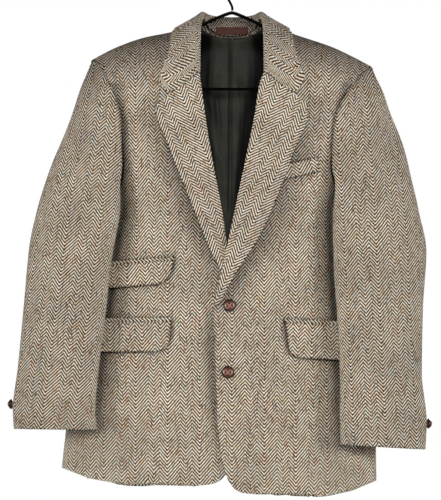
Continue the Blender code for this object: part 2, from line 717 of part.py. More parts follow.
def make_collar(tweed, label):
    runs = steps(-1, 1, COLLAR_RUNS * 2)
    sections = [collar_row(run) for run in runs]
    for section in sections:
        section[FALL_STARTS:] = [collar_clear(p, COLLAR_LIFT) for p in section[FALL_STARTS:]]
    across = range(len(sections[0]))
    sheet(
        "collar", across, range(len(sections)),
        lambda column, row: sections[row][column], DOUBLED_CLOTH, tweed, flipped=True,
    )
    foot, top = sections[COLLAR_RUNS][0], sections[COLLAR_RUNS][1]
    sheet(
        "label_patch", steps(-LABEL_WIDTH / 2, LABEL_WIDTH / 2, 4), (LABEL_TOP, LABEL_FOOT),
        lambda x, share: label_point(x, share, foot, top), LABEL_THICK, label,
    )


def label_point(x, share, foot, top):
    """A point on the bare patch inside the collar's stand, bent as the stand is."""
    foot_y = at_row(COLLAR, LABEL_BEND_RUN * abs(x))[1]
    bend = foot_y - COLLAR[0].foot_y
    height_on_stand = mix(foot.z, top.z, share / STAND_STEPS[1])
    depth = mix(foot.y, top.y, share / STAND_STEPS[1])
    return Vector((x, depth + bend - LABEL_THICK - LABEL_CLEAR, height_on_stand))


def make_fronts_trim(tweed):
    for side in (RIGHT, LEFT):
        sheet(
            f"lapel_{side}", steps(0, 1, LAPEL_STEPS), steps(0, 1, LAPEL_ROWS),
            lambda across, run, side=side: lapel_point(side, across, run),
            DOUBLED_CLOTH, tweed, flipped=side == LEFT,
        )
    for patch in PATCHES:
        down = 3 if patch.height > 0.01 else 1
        sheet(
            patch.name, steps(0, 1, 8), steps(0, 1, down),
            lambda across, row, patch=patch: patch_point(patch, across, row),
            DOUBLED_CLOTH, tweed, flipped=patch.side == LEFT,
        )


def make_buttons(leather):
    for row in FRONT_BUTTONS:
        place = on_front(LEFT, row.out, row.drop, SEAM)
        facing = normal_at(front_face, LEFT, row.out, row.drop)
        button(row.name, BUTTON_WIDTH, BUTTON_HEIGHT, place, facing, leather)
    for row in CUFF_BUTTONS:
        here = sleeve_point(row.side, row.around, row.along)
        before = sleeve_point(row.side, row.around - PROBE_TURN, row.along)
        across = sleeve_point(row.side, row.around + PROBE_TURN, row.along) - before
        above = sleeve_point(row.side, row.around, row.along - PROBE_SHARE)
        down = sleeve_point(row.side, row.around, row.along + PROBE_SHARE) - above
        facing = across.cross(down).normalized()
        if facing.x * SIGN[row.side] < 0:
            facing = -facing
        place = here + facing * CUFF_BUTTON_STANDS_OUT
        button(row.name, CUFF_BUTTON_WIDTH, CUFF_BUTTON_HEIGHT, place, facing, leather)


def arm_point(side, out):
    """A point on the middle line of a hanger arm."""
    leave = shoulder_drop(side, ARM_LEAVES_NECK) + ARM_BELOW_SHOULDER
    if out < ARM_LEAVES_NECK:
        drop = mix(APEX_DROP, leave, (out / ARM_LEAVES_NECK) ** NECK_BEND)
    else:
        drop = shoulder_drop(side, out) + ARM_BELOW_SHOULDER
    return Vector((SIGN[side] * out, 0, height(drop)))


def make_hanger(black):
    right = [arm_point(RIGHT, out) for out in reversed(ARM_POINTS)]
    left = [arm_point(LEFT, out) for out in ARM_POINTS]
    apex = Vector((0, 0, height(APEX_DROP) - APEX_ROUND))
    tube("hanger_arms", [*right, apex, *left], WIRE, black)
    bar = []
    for side in (RIGHT, LEFT):
        end = arm_point(side, ARM_REACH)
        bend = [Vector((SIGN[side] * out, 0, end.z - below)) for out, below in BAR_BEND]
        corner = Vector((SIGN[side] * BAR_CORNER, 0, height(BAR_DROP - BAR_CORNER_RISE)))
        run = Vector((SIGN[side] * BAR_RUN, 0, height(BAR_DROP)))
        start = end + Vector((SIGN[side] * BAR_START[0], 0, -BAR_START[1]))
        points = [start, *bend, corner, run]
        bar += points if side == RIGHT else points[::-1]
    tube("hanger_bar", bar, WIRE, black)
    centre = Vector((0, 0, HOOK_WIRE - HOOK_BEND))
    neck = [Vector((x, 0, z)) for x, z in HOOK_NECK]
    arc = []
    for turn in steps(*HOOK_TURN, HOOK_STEPS):
        angle = math.radians(turn)
        arc.append(centre + Vector((math.cos(angle), 0, math.sin(angle))) * HOOK_BEND)
    tube("hanger_hook", [*neck, *arc], HOOK_WIRE, black)


for old in list(bpy.data.objects):
    bpy.data.objects.remove(old, do_unlink=True)

PARTS = bpy.data.collections.new(OBJECT)
bpy.context.scene.collection.children.link(PARTS)

TWEED = material("brown_tweed", (0.24, 0.19, 0.135), 0.95)
SATIN = material("black_satin_lining", (0.018, 0.018, 0.014), 0.35)
LABEL = material("maroon_ribbon", (0.12, 0.02, 0.02), 0.7)
LEATHER = material("brown_woven_leather", (0.13, 0.045, 0.022), 0.45)
HANGER = material("black_coated_wire", (0.012, 0.012, 0.012), 0.4)

make_trunk(TWEED, SATIN)
make_sleeves(TWEED)
make_collar(TWEED, LABEL)
make_fronts_trim(TWEED)
make_buttons(LEATHER)
make_hanger(HANGER)
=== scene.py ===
"""A tweed hacking jacket on a plain wire hanger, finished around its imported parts.

Metres, +Z up. The front of the jacket faces -Y and the wearer's left is +X. The origin is the inside
of the hook's top. A drop is a height below the top edge of the collar, and an out is a distance from
the middle of the jacket towards the side that is being made.
"""

import logging
import math
from dataclasses import dataclass, field
from enum import Enum
from typing import Callable, NamedTuple, Sequence, Union

import bmesh
import bpy
import numpy as np
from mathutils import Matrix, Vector


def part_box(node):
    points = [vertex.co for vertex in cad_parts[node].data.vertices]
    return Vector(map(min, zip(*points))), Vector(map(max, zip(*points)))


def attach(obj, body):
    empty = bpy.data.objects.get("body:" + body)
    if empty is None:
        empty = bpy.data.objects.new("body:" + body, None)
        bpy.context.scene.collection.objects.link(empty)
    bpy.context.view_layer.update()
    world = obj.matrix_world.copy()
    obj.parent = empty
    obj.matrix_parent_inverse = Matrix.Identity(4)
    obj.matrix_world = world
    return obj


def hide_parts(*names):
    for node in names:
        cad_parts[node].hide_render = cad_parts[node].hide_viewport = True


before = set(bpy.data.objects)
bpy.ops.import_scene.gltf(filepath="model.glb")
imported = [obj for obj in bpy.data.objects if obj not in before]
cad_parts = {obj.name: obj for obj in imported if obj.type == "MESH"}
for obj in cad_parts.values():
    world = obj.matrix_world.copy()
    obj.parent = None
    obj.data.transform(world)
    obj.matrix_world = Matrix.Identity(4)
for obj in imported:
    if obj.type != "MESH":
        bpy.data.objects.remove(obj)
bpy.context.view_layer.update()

LOG = logging.getLogger("hacking_jacket")
Array = np.ndarray
Socket = bpy.types.NodeSocket
Node = bpy.types.Node
Material = bpy.types.Material
Feed = Union[Socket, float, tuple]
ROOT = "root"
GRAIN_UV = "Grain"
SHADE = "Shade"

# Driving sizes.
ROD_TO_COLLAR = 0.0874
CLOTH = 0.0022
DOUBLED_CLOTH = 0.0030
LINING = 0.0010
LINING_STANDS_IN = 0.0070
PROBE = 0.002
SHOULDER_ROUND = 0.060
SHOULDER_FALL = 0.25
OVERLAP_LIFT = 0.0085
ARMHOLE_FOOT_ROW = 0.42
UNDERARM_TUCK = 0.034
LEAVES_ARMHOLE = 0.26
BODY_CLEARANCE = 0.0090
POCKET_CLEARANCE = 0.0140
WIRE = 0.0025
WIRE_COAT = 0.0004
HOOK_WIRE = 0.0021
HOOK_BEND = 0.0220
HEM_TURN_UP = 0.034
FACING_WIDTH = 0.085

# How panels meet at the armhole, as shares of a panel's width or rows.
PANEL_KEPT = 0.997
ROW_BUNCHING = 1.15
FRONT_TIP_TRIM = 0.004
BACK_TIP_TRIM = 0.034
TIP_THINNING = 0.95

# Painted shade on the cloth, as the share of its colour that is left, where 1 means none is painted.
INSIDE_SHADE = 0.8
RIM_SHADE = 0.7
SHOULDER_SHADE = 0.42
SLEEVE_SHADE = 0.90
COLLAR_SHADE = 0.85
PATCH_EDGE_SHADE = 0.30


class Side(Enum):
    """A side of the jacket, with the sign of its x."""

    RIGHT = -1.0
    LEFT = 1.0

    @property
    def word(self) -> str:
        """The side as it stands in a node's name."""
        return self.name.lower()


class Slot(Enum):
    """The record's material slots."""

    TWEED = "tweed"
    LINING = "lining"
    LABEL = "label"
    BUTTON = "leather_button"
    HANGER = "hanger"


class Held(Enum):
    """How a sheet of cloth is held."""

    HUNG = "hung"
    LAID = "laid"
    FOLDED = "folded"


class Ring(NamedTuple):
    """A level of the trunk, which is a flattened tube of half ellipses that meet at the side."""

    drop: float
    half_width: float
    centre: float
    front: float
    back: float
    side: float


class Ridge(NamedTuple):
    """A point of the shoulder line."""

    out: float
    drop: float


class Scye(NamedTuple):
    """A point of the armhole: around is 0 at the underarm, 90 in front and 180 at the shoulder."""

    around: float
    turn: float
    drop: float


class SideSeam(NamedTuple):
    """How far the side seam has turned to the side, from the underarm to the hem."""

    row: float
    share: float


class Edge(NamedTuple):
    """A point of a front's inner edge."""

    row: float
    out: float
    drop: float


class Hem(NamedTuple):
    """A point of a hem or a neckline."""

    out: float
    drop: float


class SleeveRow(NamedTuple):
    """The inner and the outer edge of a sleeve, at a share of its length."""

    along: float
    inner: float
    inner_drop: float
    outer: float
    outer_drop: float


class SleeveDepth(NamedTuple):
    """How far both edges of a sleeve stand forward, and its rounding in front and behind."""

    along: float
    stand_off: float
    outer_y: float
    front: float
    back: float


class CollarRow(NamedTuple):
    """A section of the collar: the foot of its stand, its fold and its outer edge."""

    run: float
    foot_out: float
    foot_y: float
    foot_drop: float
    fold_out: float
    fold_y: float
    fold_drop: float
    edge_out: float
    edge_y: float
    edge_drop: float
    dip: float


class LapelRow(NamedTuple):
    """A section of a lapel, from its fold to its outer edge."""

    run: float
    fold_out: float
    fold_drop: float
    edge_out: float
    edge_drop: float


TRUNK = (
    Ring(0.0, 0.24, 0.0, 0.05, 0.054, 0.0),
    Ring(0.18, 0.236, 0.0, 0.058, 0.057, 0.002),
    Ring(0.288, 0.217, 0.0, 0.06, 0.058, 0.008),
    Ring(0.34, 0.219, -0.003, 0.059, 0.057, 0.016),
    Ring(0.42, 0.236, -0.006, 0.056, 0.055, 0.02),
    Ring(0.56, 0.252, -0.012, 0.052, 0.052, 0.02),
    Ring(0.83, 0.27, -0.025, 0.046, 0.05, 0.014),
)
SHOULDER = {
    Side.RIGHT: (
        Ridge(0.0, -0.008), Ridge(0.052, 0.008), Ridge(0.097, 0.025),
        Ridge(0.15, 0.036), Ridge(0.194, 0.051), Ridge(0.24, 0.074),
    ),
    Side.LEFT: (
        Ridge(0.0, -0.008), Ridge(0.052, 0.009), Ridge(0.1, 0.028),
        Ridge(0.171, 0.052), Ridge(0.206, 0.068), Ridge(0.244, 0.088),
    ),
}
ARMHOLE = {
    Side.RIGHT: (
        Scye(0, 62, 0.288), Scye(45, 57, 0.25), Scye(90, 53, 0.18),
        Scye(135, 61, 0.114), Scye(180, 79, 0.0745), Scye(225, 117, 0.114),
        Scye(270, 126, 0.18), Scye(315, 110, 0.246), Scye(360, 62, 0.288),
    ),
    Side.LEFT: (
        Scye(0, 56, 0.292), Scye(45, 50, 0.254), Scye(90, 47, 0.186),
        Scye(135, 57, 0.124), Scye(180, 81, 0.087), Scye(225, 118, 0.124),
        Scye(270, 127, 0.186), Scye(315, 110, 0.25), Scye(360, 56, 0.292),
    ),
}
SIDE_SEAM = (SideSeam(0.42, 0.0), SideSeam(0.52, 0.45), SideSeam(0.68, 0.9), SideSeam(1.0, 1.0))
FRONT_EDGE = {
    Side.RIGHT: (
        Edge(0.0, 0.0625, 0.014), Edge(0.1, 0.0625, 0.06), Edge(0.18, 0.059, 0.1),
        Edge(0.28, 0.049, 0.165), Edge(0.36, 0.039, 0.235), Edge(0.42, 0.028, 0.288),
        Edge(0.5, 0.017, 0.354), Edge(0.6, 0.003, 0.437), Edge(0.7, -0.012, 0.52),
        Edge(0.84, -0.013, 0.65), Edge(0.9, -0.003, 0.705), Edge(0.93, 0.01, 0.735),
        Edge(0.955, 0.027, 0.762), Edge(0.98, 0.058, 0.79), Edge(1.0, 0.097, 0.798),
    ),
    Side.LEFT: (
        Edge(0.0, 0.0625, 0.015), Edge(0.1, 0.0625, 0.06), Edge(0.18, 0.06, 0.098),
        Edge(0.28, 0.041, 0.162), Edge(0.36, 0.028, 0.228), Edge(0.42, 0.015, 0.29),
        Edge(0.5, 0.001, 0.355), Edge(0.58, -0.012, 0.425), Edge(0.66, -0.03, 0.5),
        Edge(0.75, -0.028, 0.58), Edge(0.84, -0.0225, 0.672), Edge(0.88, -0.0165, 0.702),
        Edge(0.92, -0.003, 0.748), Edge(0.95, 0.013, 0.779), Edge(0.975, 0.04, 0.804),
        Edge(1.0, 0.09, 0.813),
    ),
}
FRONT_HEM = {
    Side.RIGHT: (
        Hem(0.09, 0.798), Hem(0.165, 0.797), Hem(0.232, 0.788), Hem(0.27, 0.776), Hem(0.3, 0.764),
    ),
    Side.LEFT: (
        Hem(0.085, 0.813), Hem(0.15, 0.8155), Hem(0.198, 0.809), Hem(0.225, 0.799), Hem(0.25, 0.789),
    ),
}
BACK_HEM = {
    Side.RIGHT: (Hem(-0.03, 0.757), Hem(0.3, 0.761)),
    Side.LEFT: (Hem(-0.03, 0.757), Hem(0.25, 0.784)),
}
BACK_NECK = (Hem(-0.03, 0.036), Hem(0.02, 0.0345), Hem(0.04, 0.0275), Hem(0.06, 0.016))
LINING_TOP = (
    Hem(0.0, 0.0365), Hem(0.02, 0.0345), Hem(0.04, 0.028),
    Hem(0.058, 0.024), Hem(0.1, 0.05), Hem(0.19, 0.11),
)
LINING_FOOT = 0.748
LINING_REACH = 66
SLEEVE = {
    Side.RIGHT: (
        SleeveRow(0.0, 0.192, 0.288, 0.236, 0.073), SleeveRow(0.05, 0.19, 0.303, 0.249, 0.1),
        SleeveRow(0.12, 0.189, 0.318, 0.27, 0.152), SleeveRow(0.2, 0.19, 0.336, 0.291, 0.212),
        SleeveRow(0.28, 0.194, 0.358, 0.311, 0.268), SleeveRow(0.36, 0.2, 0.39, 0.33, 0.325),
        SleeveRow(0.46, 0.206, 0.43, 0.345, 0.392), SleeveRow(0.6, 0.215, 0.51, 0.354, 0.49),
        SleeveRow(0.8, 0.227, 0.606, 0.364, 0.596), SleeveRow(0.93, 0.232, 0.672, 0.3725, 0.668),
        SleeveRow(1.0, 0.229, 0.702, 0.371, 0.701),
    ),
    Side.LEFT: (
        SleeveRow(0.0, 0.18, 0.292, 0.24, 0.086), SleeveRow(0.05, 0.175, 0.306, 0.252, 0.116),
        SleeveRow(0.12, 0.172, 0.322, 0.272, 0.164), SleeveRow(0.2, 0.171, 0.34, 0.29, 0.214),
        SleeveRow(0.28, 0.171, 0.364, 0.303, 0.272), SleeveRow(0.36, 0.172, 0.396, 0.317, 0.33),
        SleeveRow(0.46, 0.173, 0.436, 0.331, 0.4), SleeveRow(0.6, 0.179, 0.52, 0.325, 0.498),
        SleeveRow(0.8, 0.183, 0.624, 0.323, 0.608), SleeveRow(0.93, 0.183, 0.694, 0.331, 0.69),
        SleeveRow(1.0, 0.184, 0.727, 0.329, 0.736),
    ),
}
SLEEVE_DEPTH = (
    SleeveDepth(0.0, 0.0, 0.0, 0.036, 0.036), SleeveDepth(0.05, 0.006, 0.0, 0.04, 0.036),
    SleeveDepth(0.12, 0.01, -0.002, 0.042, 0.036), SleeveDepth(0.2, 0.014, -0.005, 0.043, 0.034),
    SleeveDepth(0.28, 0.016, -0.009, 0.043, 0.033), SleeveDepth(0.36, 0.018, -0.013, 0.042, 0.032),
    SleeveDepth(0.46, 0.02, -0.018, 0.04, 0.031), SleeveDepth(0.6, 0.022, -0.024, 0.037, 0.029),
    SleeveDepth(0.8, 0.024, -0.03, 0.033, 0.027), SleeveDepth(0.93, 0.026, -0.034, 0.029, 0.025),
    SleeveDepth(1.0, 0.027, -0.036, 0.028, 0.024),
)
COLLAR = (
    CollarRow(0.0, 0.0, 0.0455, 0.031, 0.0, 0.049, 0.0, 0.0, 0.064, 0.046, 0.0),
    CollarRow(0.1, 0.018, 0.043, 0.0295, 0.02, 0.0465, -0.001, 0.032, 0.062, 0.045, 0.0),
    CollarRow(0.22, 0.034, 0.032, 0.021, 0.037, 0.036, -0.004, 0.064, 0.051, 0.038, 0.0),
    CollarRow(0.35, 0.043, 0.016, 0.009, 0.0475, 0.017, -0.0085, 0.086, 0.028, 0.027, 0.0),
    CollarRow(0.48, 0.048, -0.002, 0.003, 0.0535, -0.004, -0.003, 0.097, 0.0, 0.019, 0.0),
    CollarRow(0.6, 0.0515, -0.018, 0.012, 0.0575, -0.023, 0.011, 0.101, -0.026, 0.036, 0.0),
    CollarRow(0.74, 0.053, -0.035, 0.035, 0.058, -0.041, 0.036, 0.106, -0.045, 0.062, 0.002),
    CollarRow(0.88, 0.0535, -0.045, 0.066, 0.058, -0.051, 0.068, 0.117, -0.052, 0.088, 0.012),
    CollarRow(1.0, 0.0535, -0.05, 0.094, 0.057, -0.056, 0.096, 0.124, -0.055, 0.105, 0.027),
)
FALL_BEND = 0.72
FOLD_ROUND = 0.0035
COLLAR_LIFT = 0.0056
LAPEL = {
    Side.RIGHT: (
        LapelRow(0.0, 0.057, 0.0995, 0.1035, 0.1335), LapelRow(0.1, 0.0545, 0.12, 0.128, 0.158),
        LapelRow(0.3, 0.0465, 0.18, 0.107, 0.217), LapelRow(0.5, 0.034, 0.255, 0.083, 0.279),
        LapelRow(0.7, 0.02, 0.33, 0.061, 0.334), LapelRow(0.85, 0.01, 0.395, 0.039, 0.39),
        LapelRow(1.0, 0.001, 0.445, 0.011, 0.448),
    ),
    Side.LEFT: (
        LapelRow(0.0, 0.056, 0.099, 0.103, 0.1335), LapelRow(0.1, 0.05, 0.115, 0.129, 0.157),
        LapelRow(0.3, 0.0395, 0.175, 0.102, 0.233), LapelRow(0.5, 0.024, 0.25, 0.074, 0.308),
        LapelRow(0.7, 0.006, 0.335, 0.041, 0.38), LapelRow(0.85, -0.01, 0.41, 0.008, 0.432),
        LapelRow(1.0, -0.028, 0.49, -0.024, 0.493),
    ),
}
LAPEL_LIFT = 0.0012
LAPEL_SPRING = {Side.RIGHT: 0.0055, Side.LEFT: 0.0070}
ARM_BELOW_SHOULDER = 0.0050
APEX_DROP = -0.0065
ARM_LEAVES_NECK = 0.054
ARM_REACH = 0.206
BAR_DROP = 0.124


# --- Reading the tables -------------------------------------------------------------------------


class Table:
    """Rows of numbers read at any place in the first column, smooth and without overshoot."""

    def __init__(self, rows: Sequence[Sequence[float]]) -> None:
        """Works out the slope at each row.

        Args:
            rows: The rows, in the order of their first column.
        """
        numbers = np.array(rows, float)
        self.places = numbers[:, 0]
        self.values = numbers[:, 1:]
        slopes = np.diff(self.values, axis=0) / np.diff(self.places)[:, None]
        before, after = slopes[:-1], slopes[1:]
        same_way = before * after > 0
        total = np.where(same_way, before + after, 1.0)
        level = np.where(same_way, 2 * before * after / total, 0.0)
        self.slopes = np.concatenate([slopes[:1], level, slopes[-1:]])

    def at(self, place: Array) -> list[Array]:
        """Reads every column after the first.

        Args:
            place: Places in the first column.

        Returns:
            One array for each column.
        """
        place = np.clip(np.asarray(place, float), self.places[0], self.places[-1])
        low = np.searchsorted(self.places, place, side="right") - 1
        low = np.clip(low, 0, len(self.places) - 2)
        width = self.places[low + 1] - self.places[low]
        t = (place - self.places[low]) / width
        start = self.slopes[low] * width[..., None]
        end = self.slopes[low + 1] * width[..., None]
        t = t[..., None]
        found = (
            self.values[low] * (2 * t**3 - 3 * t**2 + 1)
            + start * (t**3 - 2 * t**2 + t)
            + self.values[low + 1] * (3 * t**2 - 2 * t**3)
            + end * (t**3 - t**2)
        )
        return [found[..., i] for i in range(found.shape[-1])]


def smooth(low: float, high: float, value: Array) -> Array:
    """A smooth step from 0 at low to 1 at high."""
    t = np.clip((np.asarray(value, float) - low) / (high - low), 0.0, 1.0)
    return t * t * (3 - 2 * t)


def mix(a: Array, b: Array, t: Array) -> Array:
    """The value a share t of the way from a to b."""
    return a + (b - a) * t


def point(x: Array, y: Array, z: Array) -> Array:
    """Points from their coordinates, in a last axis of three."""
    return np.stack(np.broadcast_arrays(x, y, z), axis=-1).astype(float)


def height(drop: Array) -> Array:
    """The z at a drop."""
    return -ROD_TO_COLLAR - drop


def drop_of(points: Array) -> Array:
    """The drops of points."""
    return -ROD_TO_COLLAR - points[..., 2]


def unit(vectors: Array) -> Array:
    """The vectors at length 1."""
    return vectors / np.maximum(np.linalg.norm(vectors, axis=-1, keepdims=True), 1e-12)


def grid(first: float, last: float, columns: int, rows: int) -> tuple[Array, Array]:
    """Across and down values of a grid, with across from first to last and down from 0 to 1."""
    across = np.linspace(first, last, columns)
    down = np.linspace(0.0, 1.0, rows)
    return np.meshgrid(across, down)


# --- The hanging form ---------------------------------------------------------------------------


@dataclass
class HangingForm:
    """One side of the jacket's hanging shape, which every piece of cloth lies on."""

    side: Side
    rings: Table = field(default_factory=lambda: Table(TRUNK))

    def __post_init__(self) -> None:
        """Reads this side's tables."""
        self.sign = self.side.value
        self.ridge = Table(SHOULDER[self.side])
        self.scye = Table(ARMHOLE[self.side])
        self.seam_turn = Table(SIDE_SEAM)
        self.edge = Table(FRONT_EDGE[self.side])
        self.front_hem = Table(FRONT_HEM[self.side])
        self.back_hem = Table(BACK_HEM[self.side])
        self.sleeve = Table(SLEEVE[self.side])
        self.sleeve_depth = Table(SLEEVE_DEPTH)
        self.lapel = Table(LAPEL[self.side])

    def shoulder_drop(self, out: Array) -> Array:
        """The drop of the shoulder's inner face."""
        return self.ridge.at(np.maximum(out, 0.0))[0] + CLOTH

    def trunk(self, turn: Array, drop: Array) -> Array:
        """Points of the trunk's inner face.

        Args:
            turn: 0 at the middle of the front, 90 at the side and 180 at the back, in degrees.
            drop: The drop of each point.

        Returns:
            The points.
        """
        half_width, centre, front, back, side_y = self.rings.at(drop)
        angle = np.radians(turn)
        x = centre + self.sign * half_width * np.sin(angle)
        depth = np.clip((drop - self.shoulder_drop(self.sign * x)) / SHOULDER_ROUND, 0.0, 1.0)
        closing = np.sqrt(1 - (1 - depth) ** 2)
        reach = np.where(turn <= 90, front + side_y, back - side_y)
        return point(x, closing * (side_y - reach * np.cos(angle)), height(drop))

    def turn_at(self, out: Array, drop: Array) -> Array:
        """The turn of the front at a distance out."""
        half_width, centre, *_ = self.rings.at(drop)
        return np.degrees(np.arcsin(np.clip((out - self.sign * centre) / half_width, -1.0, 1.0)))

    def overlap_lift(self, out: Array, drop: Array) -> Array:
        """How far the left front stands forward where it lies over the right one."""
        if self.side is Side.RIGHT:
            return np.zeros_like(out)
        return OVERLAP_LIFT * (1 - smooth(0.02, 0.13, out)) * smooth(0.25, 0.40, drop)

    def front_face(self, out: Array, drop: Array) -> Array:
        """Points of a front's inner face."""
        found = self.trunk(self.turn_at(out, drop), drop)
        found[..., 1] -= self.overlap_lift(out, drop)
        return found

    def back_face(self, out: Array, drop: Array) -> Array:
        """Points of a back's inner face."""
        return self.trunk(180 - self.turn_at(out, drop), drop)

    def normal(self, face: Callable, out: Array, drop: Array) -> Array:
        """The directions out of the jacket at points of front_face or back_face."""
        across = face(out + PROBE, drop) - face(out - PROBE, drop)
        down = face(out, drop + PROBE) - face(out, drop - PROBE)
        found = unit(np.cross(across, down))
        outwards = -1 if face == self.front_face else 1
        return np.where(found[..., 1:2] * outwards > 0, found, -found)

    def on_front(self, out: Array, drop: Array, lift: Array) -> Array:
        """Points of a front's outer face, moved out by lift."""
        out, drop = np.broadcast_arrays(np.asarray(out, float), np.asarray(drop, float))
        away = self.normal(self.front_face, out, drop)
        return self.front_face(out, drop) + away * (CLOTH + np.asarray(lift))[..., None]

    def outer_edge(self, row: Array, hem_drop: float, last: float) -> tuple[Array, Array]:
        """Turn and drop of a panel's outer edge, down the armhole and then down the side seam.

        Args:
            row: Places from the shoulder, 0, to the hem, 1.
            hem_drop: The drop of the side seam's foot.
            last: The end of the armhole, as in Scye.around.

        Returns:
            The turns and the drops.
        """
        share = np.clip(row / ARMHOLE_FOOT_ROW, 0, 1)
        turn, drop = self.scye.at(mix(180, last, share))
        foot_turn, foot_drop = ARMHOLE[self.side][0].turn, ARMHOLE[self.side][0].drop
        down = (row - ARMHOLE_FOOT_ROW) / (1 - ARMHOLE_FOOT_ROW)
        below = row > ARMHOLE_FOOT_ROW
        seam = mix(foot_turn, 90, self.seam_turn.at(row)[0])
        return np.where(below, seam, turn), np.where(below, mix(foot_drop, hem_drop, down), drop)

    def front_panel(self, across: Array, row: Array) -> Array:
        """Points of a front's inner face, from its inner edge to the armhole and the side seam.

        Args:
            across: Places from the inner edge, 0, to the outer one, 1.
            row: Places from the shoulder, 0, to the hem, 1.

        Returns:
            The points.
        """
        out, inner_drop = self.edge.at(row)
        outer_turn, outer_drop = self.outer_edge(row, FRONT_HEM[self.side][-1].drop, 0)
        turn = mix(self.turn_at(out, inner_drop), outer_turn, across)
        drop = mix(inner_drop, outer_drop, across)
        here = self.sign * self.trunk(turn, drop)[..., 0]
        outer = self.sign * self.trunk(outer_turn, outer_drop)[..., 0]
        inner_depth = inner_drop - self.shoulder_drop(out)
        depth = mix(inner_depth, outer_drop - self.shoulder_drop(outer), across)
        least = SHOULDER_FALL * row * (1 - across**3)
        below = self.shoulder_drop(here) + np.maximum(depth, least)
        drop = drop + (below - drop) * (1 - smooth(0.0, 0.22, row))
        drop = drop + (self.front_hem.at(here)[0] - drop) * smooth(0.72, 1.0, row) ** 2
        found = self.trunk(turn, drop)
        found[..., 1] -= self.overlap_lift(self.sign * found[..., 0], drop)
        return found

    def back_panel(self, across: Array, row: Array) -> Array:
        """Points of a back's inner face, from the centre seam to the armhole and the side seam.

        Args:
            across: Places from the centre seam, 0, to the outer edge, 1.
            row: Places from the shoulder, 0, to the hem, 1.

        Returns:
            The points.
        """
        outer_turn, outer_drop = self.outer_edge(row, BACK_HEM[self.side][-1].drop, 360)
        inner_drop = mix(BACK_NECK[0].drop, BACK_HEM[self.side][0].drop, row)
        turn = mix(180, outer_turn, across)
        drop = mix(inner_drop, outer_drop, across)
        here = self.sign * self.trunk(turn, drop)[..., 0]
        top = np.maximum(Table(BACK_NECK).at(here)[0], self.shoulder_drop(here))
        outer = self.sign * self.trunk(outer_turn, outer_drop)[..., 0]
        inner_depth = inner_drop - BACK_NECK[0].drop
        depth = mix(inner_depth, outer_drop - self.shoulder_drop(outer), across)
        below = top + np.maximum(depth, SHOULDER_FALL * row * (1 - across**3))
        drop = drop + (below - drop) * (1 - smooth(0.0, 0.22, row))
        drop = drop + (self.back_hem.at(here)[0] - drop) * smooth(0.72, 1.0, row) ** 2
        return self.trunk(turn, drop)

    def sleeve_point(self, around: Array, along: Array) -> Array:
        """Points of a sleeve's outer face: around as for the armhole, along from it to the cuff.

        Args:
            around: Degrees around, as for the armhole.
            along: Places from the armhole, 0, to the cuff, 1.

        Returns:
            The points.
        """
        inner, inner_drop, outer, outer_drop = self.sleeve.at(along)
        stand_off, outer_y, front, back = self.sleeve_depth.at(along)
        sine, cosine = np.sin(np.radians(around)), np.cos(np.radians(around))
        share = (1 - cosine) / 2
        inner_y = self.front_face(inner, inner_drop)[..., 1] - stand_off
        tuck = UNDERARM_TUCK * np.maximum(-sine, 0) * (1 - share) * 2 * (1 - smooth(0.25, 0.6, along))
        y = mix(inner_y, outer_y, share) - np.where(sine >= 0, front, back) * sine
        out = mix(inner, outer, share) + tuck
        ring = point(self.sign * out, y, height(mix(inner_drop, outer_drop, share)))
        turn, drop = self.scye.at(around % 360)
        leaving = 1 - np.maximum(1 - along / LEAVES_ARMHOLE, 0.0) ** 2
        found = mix(self.trunk(turn, drop), ring, leaving[..., None])
        out, drop = self.sign * found[..., 0], drop_of(found)
        clearance = mix(BODY_CLEARANCE, POCKET_CLEARANCE, smooth(0.38, 0.47, drop))
        limit = self.front_face(out, drop)[..., 1] - clearance
        facing_front = smooth(-0.1, 0.15, sine) * smooth(0.02, 0.2, 1 - share)
        below = smooth(0.0, 0.03, along) * np.maximum(smooth(0.245, 0.285, drop), facing_front)
        half_width, centre, *_ = self.rings.at(drop)
        past = out - self.sign * centre - half_width
        over = 1 - smooth(0.006, 0.020, past)
        found[..., 1] = mix(found[..., 1], np.minimum(found[..., 1], limit), below * over)
        return found


# --- Creases and cloth --------------------------------------------------------------------------


@dataclass(frozen=True)
class Crease:
    """A soft trough or ridge along a line, given as x and drop.

    Attributes:
        path: The line's points, as pairs of x and drop.
        width: How far the crease reaches to each side.
        rise: How high it stands at its middle, below 0 for a trough.
        shade: How much painted shade darkens the cloth at its middle.
        ends: How softly it fades at both ends of the line, 0 where it doesn't.
    """

    path: tuple[tuple[float, float], ...]
    width: float
    rise: float
    shade: float = 0.0
    ends: float = 0.6

    def reach(self, x: Array, drop: Array) -> Array:
        """How much of the crease each point gets, fading at both ends of the line.

        Args:
            x: The points' x.
            drop: Their drops.

        Returns:
            A share from 0 to 1 for each point.
        """
        best = np.full(x.shape, np.inf)
        along = np.zeros(x.shape)
        lengths = [max(math.dist(a, b), 1e-6) for a, b in zip(self.path, self.path[1:])]
        gone = 0.0
        for (ax, az), (bx, bz), length in zip(self.path, self.path[1:], lengths):
            t = np.clip(((x - ax) * (bx - ax) + (drop - az) * (bz - az)) / length**2, 0.0, 1.0)
            away = np.hypot(x - ax - t * (bx - ax), drop - az - t * (bz - az))
            nearer = away < best
            best = np.where(nearer, away, best)
            along = np.where(nearer, (gone + t * length) / sum(lengths), along)
            gone += length
        fade = np.sin(np.pi * np.clip(along, 0.02, 0.98)) ** self.ends
        return fade * np.exp(-((best / self.width) ** 2))


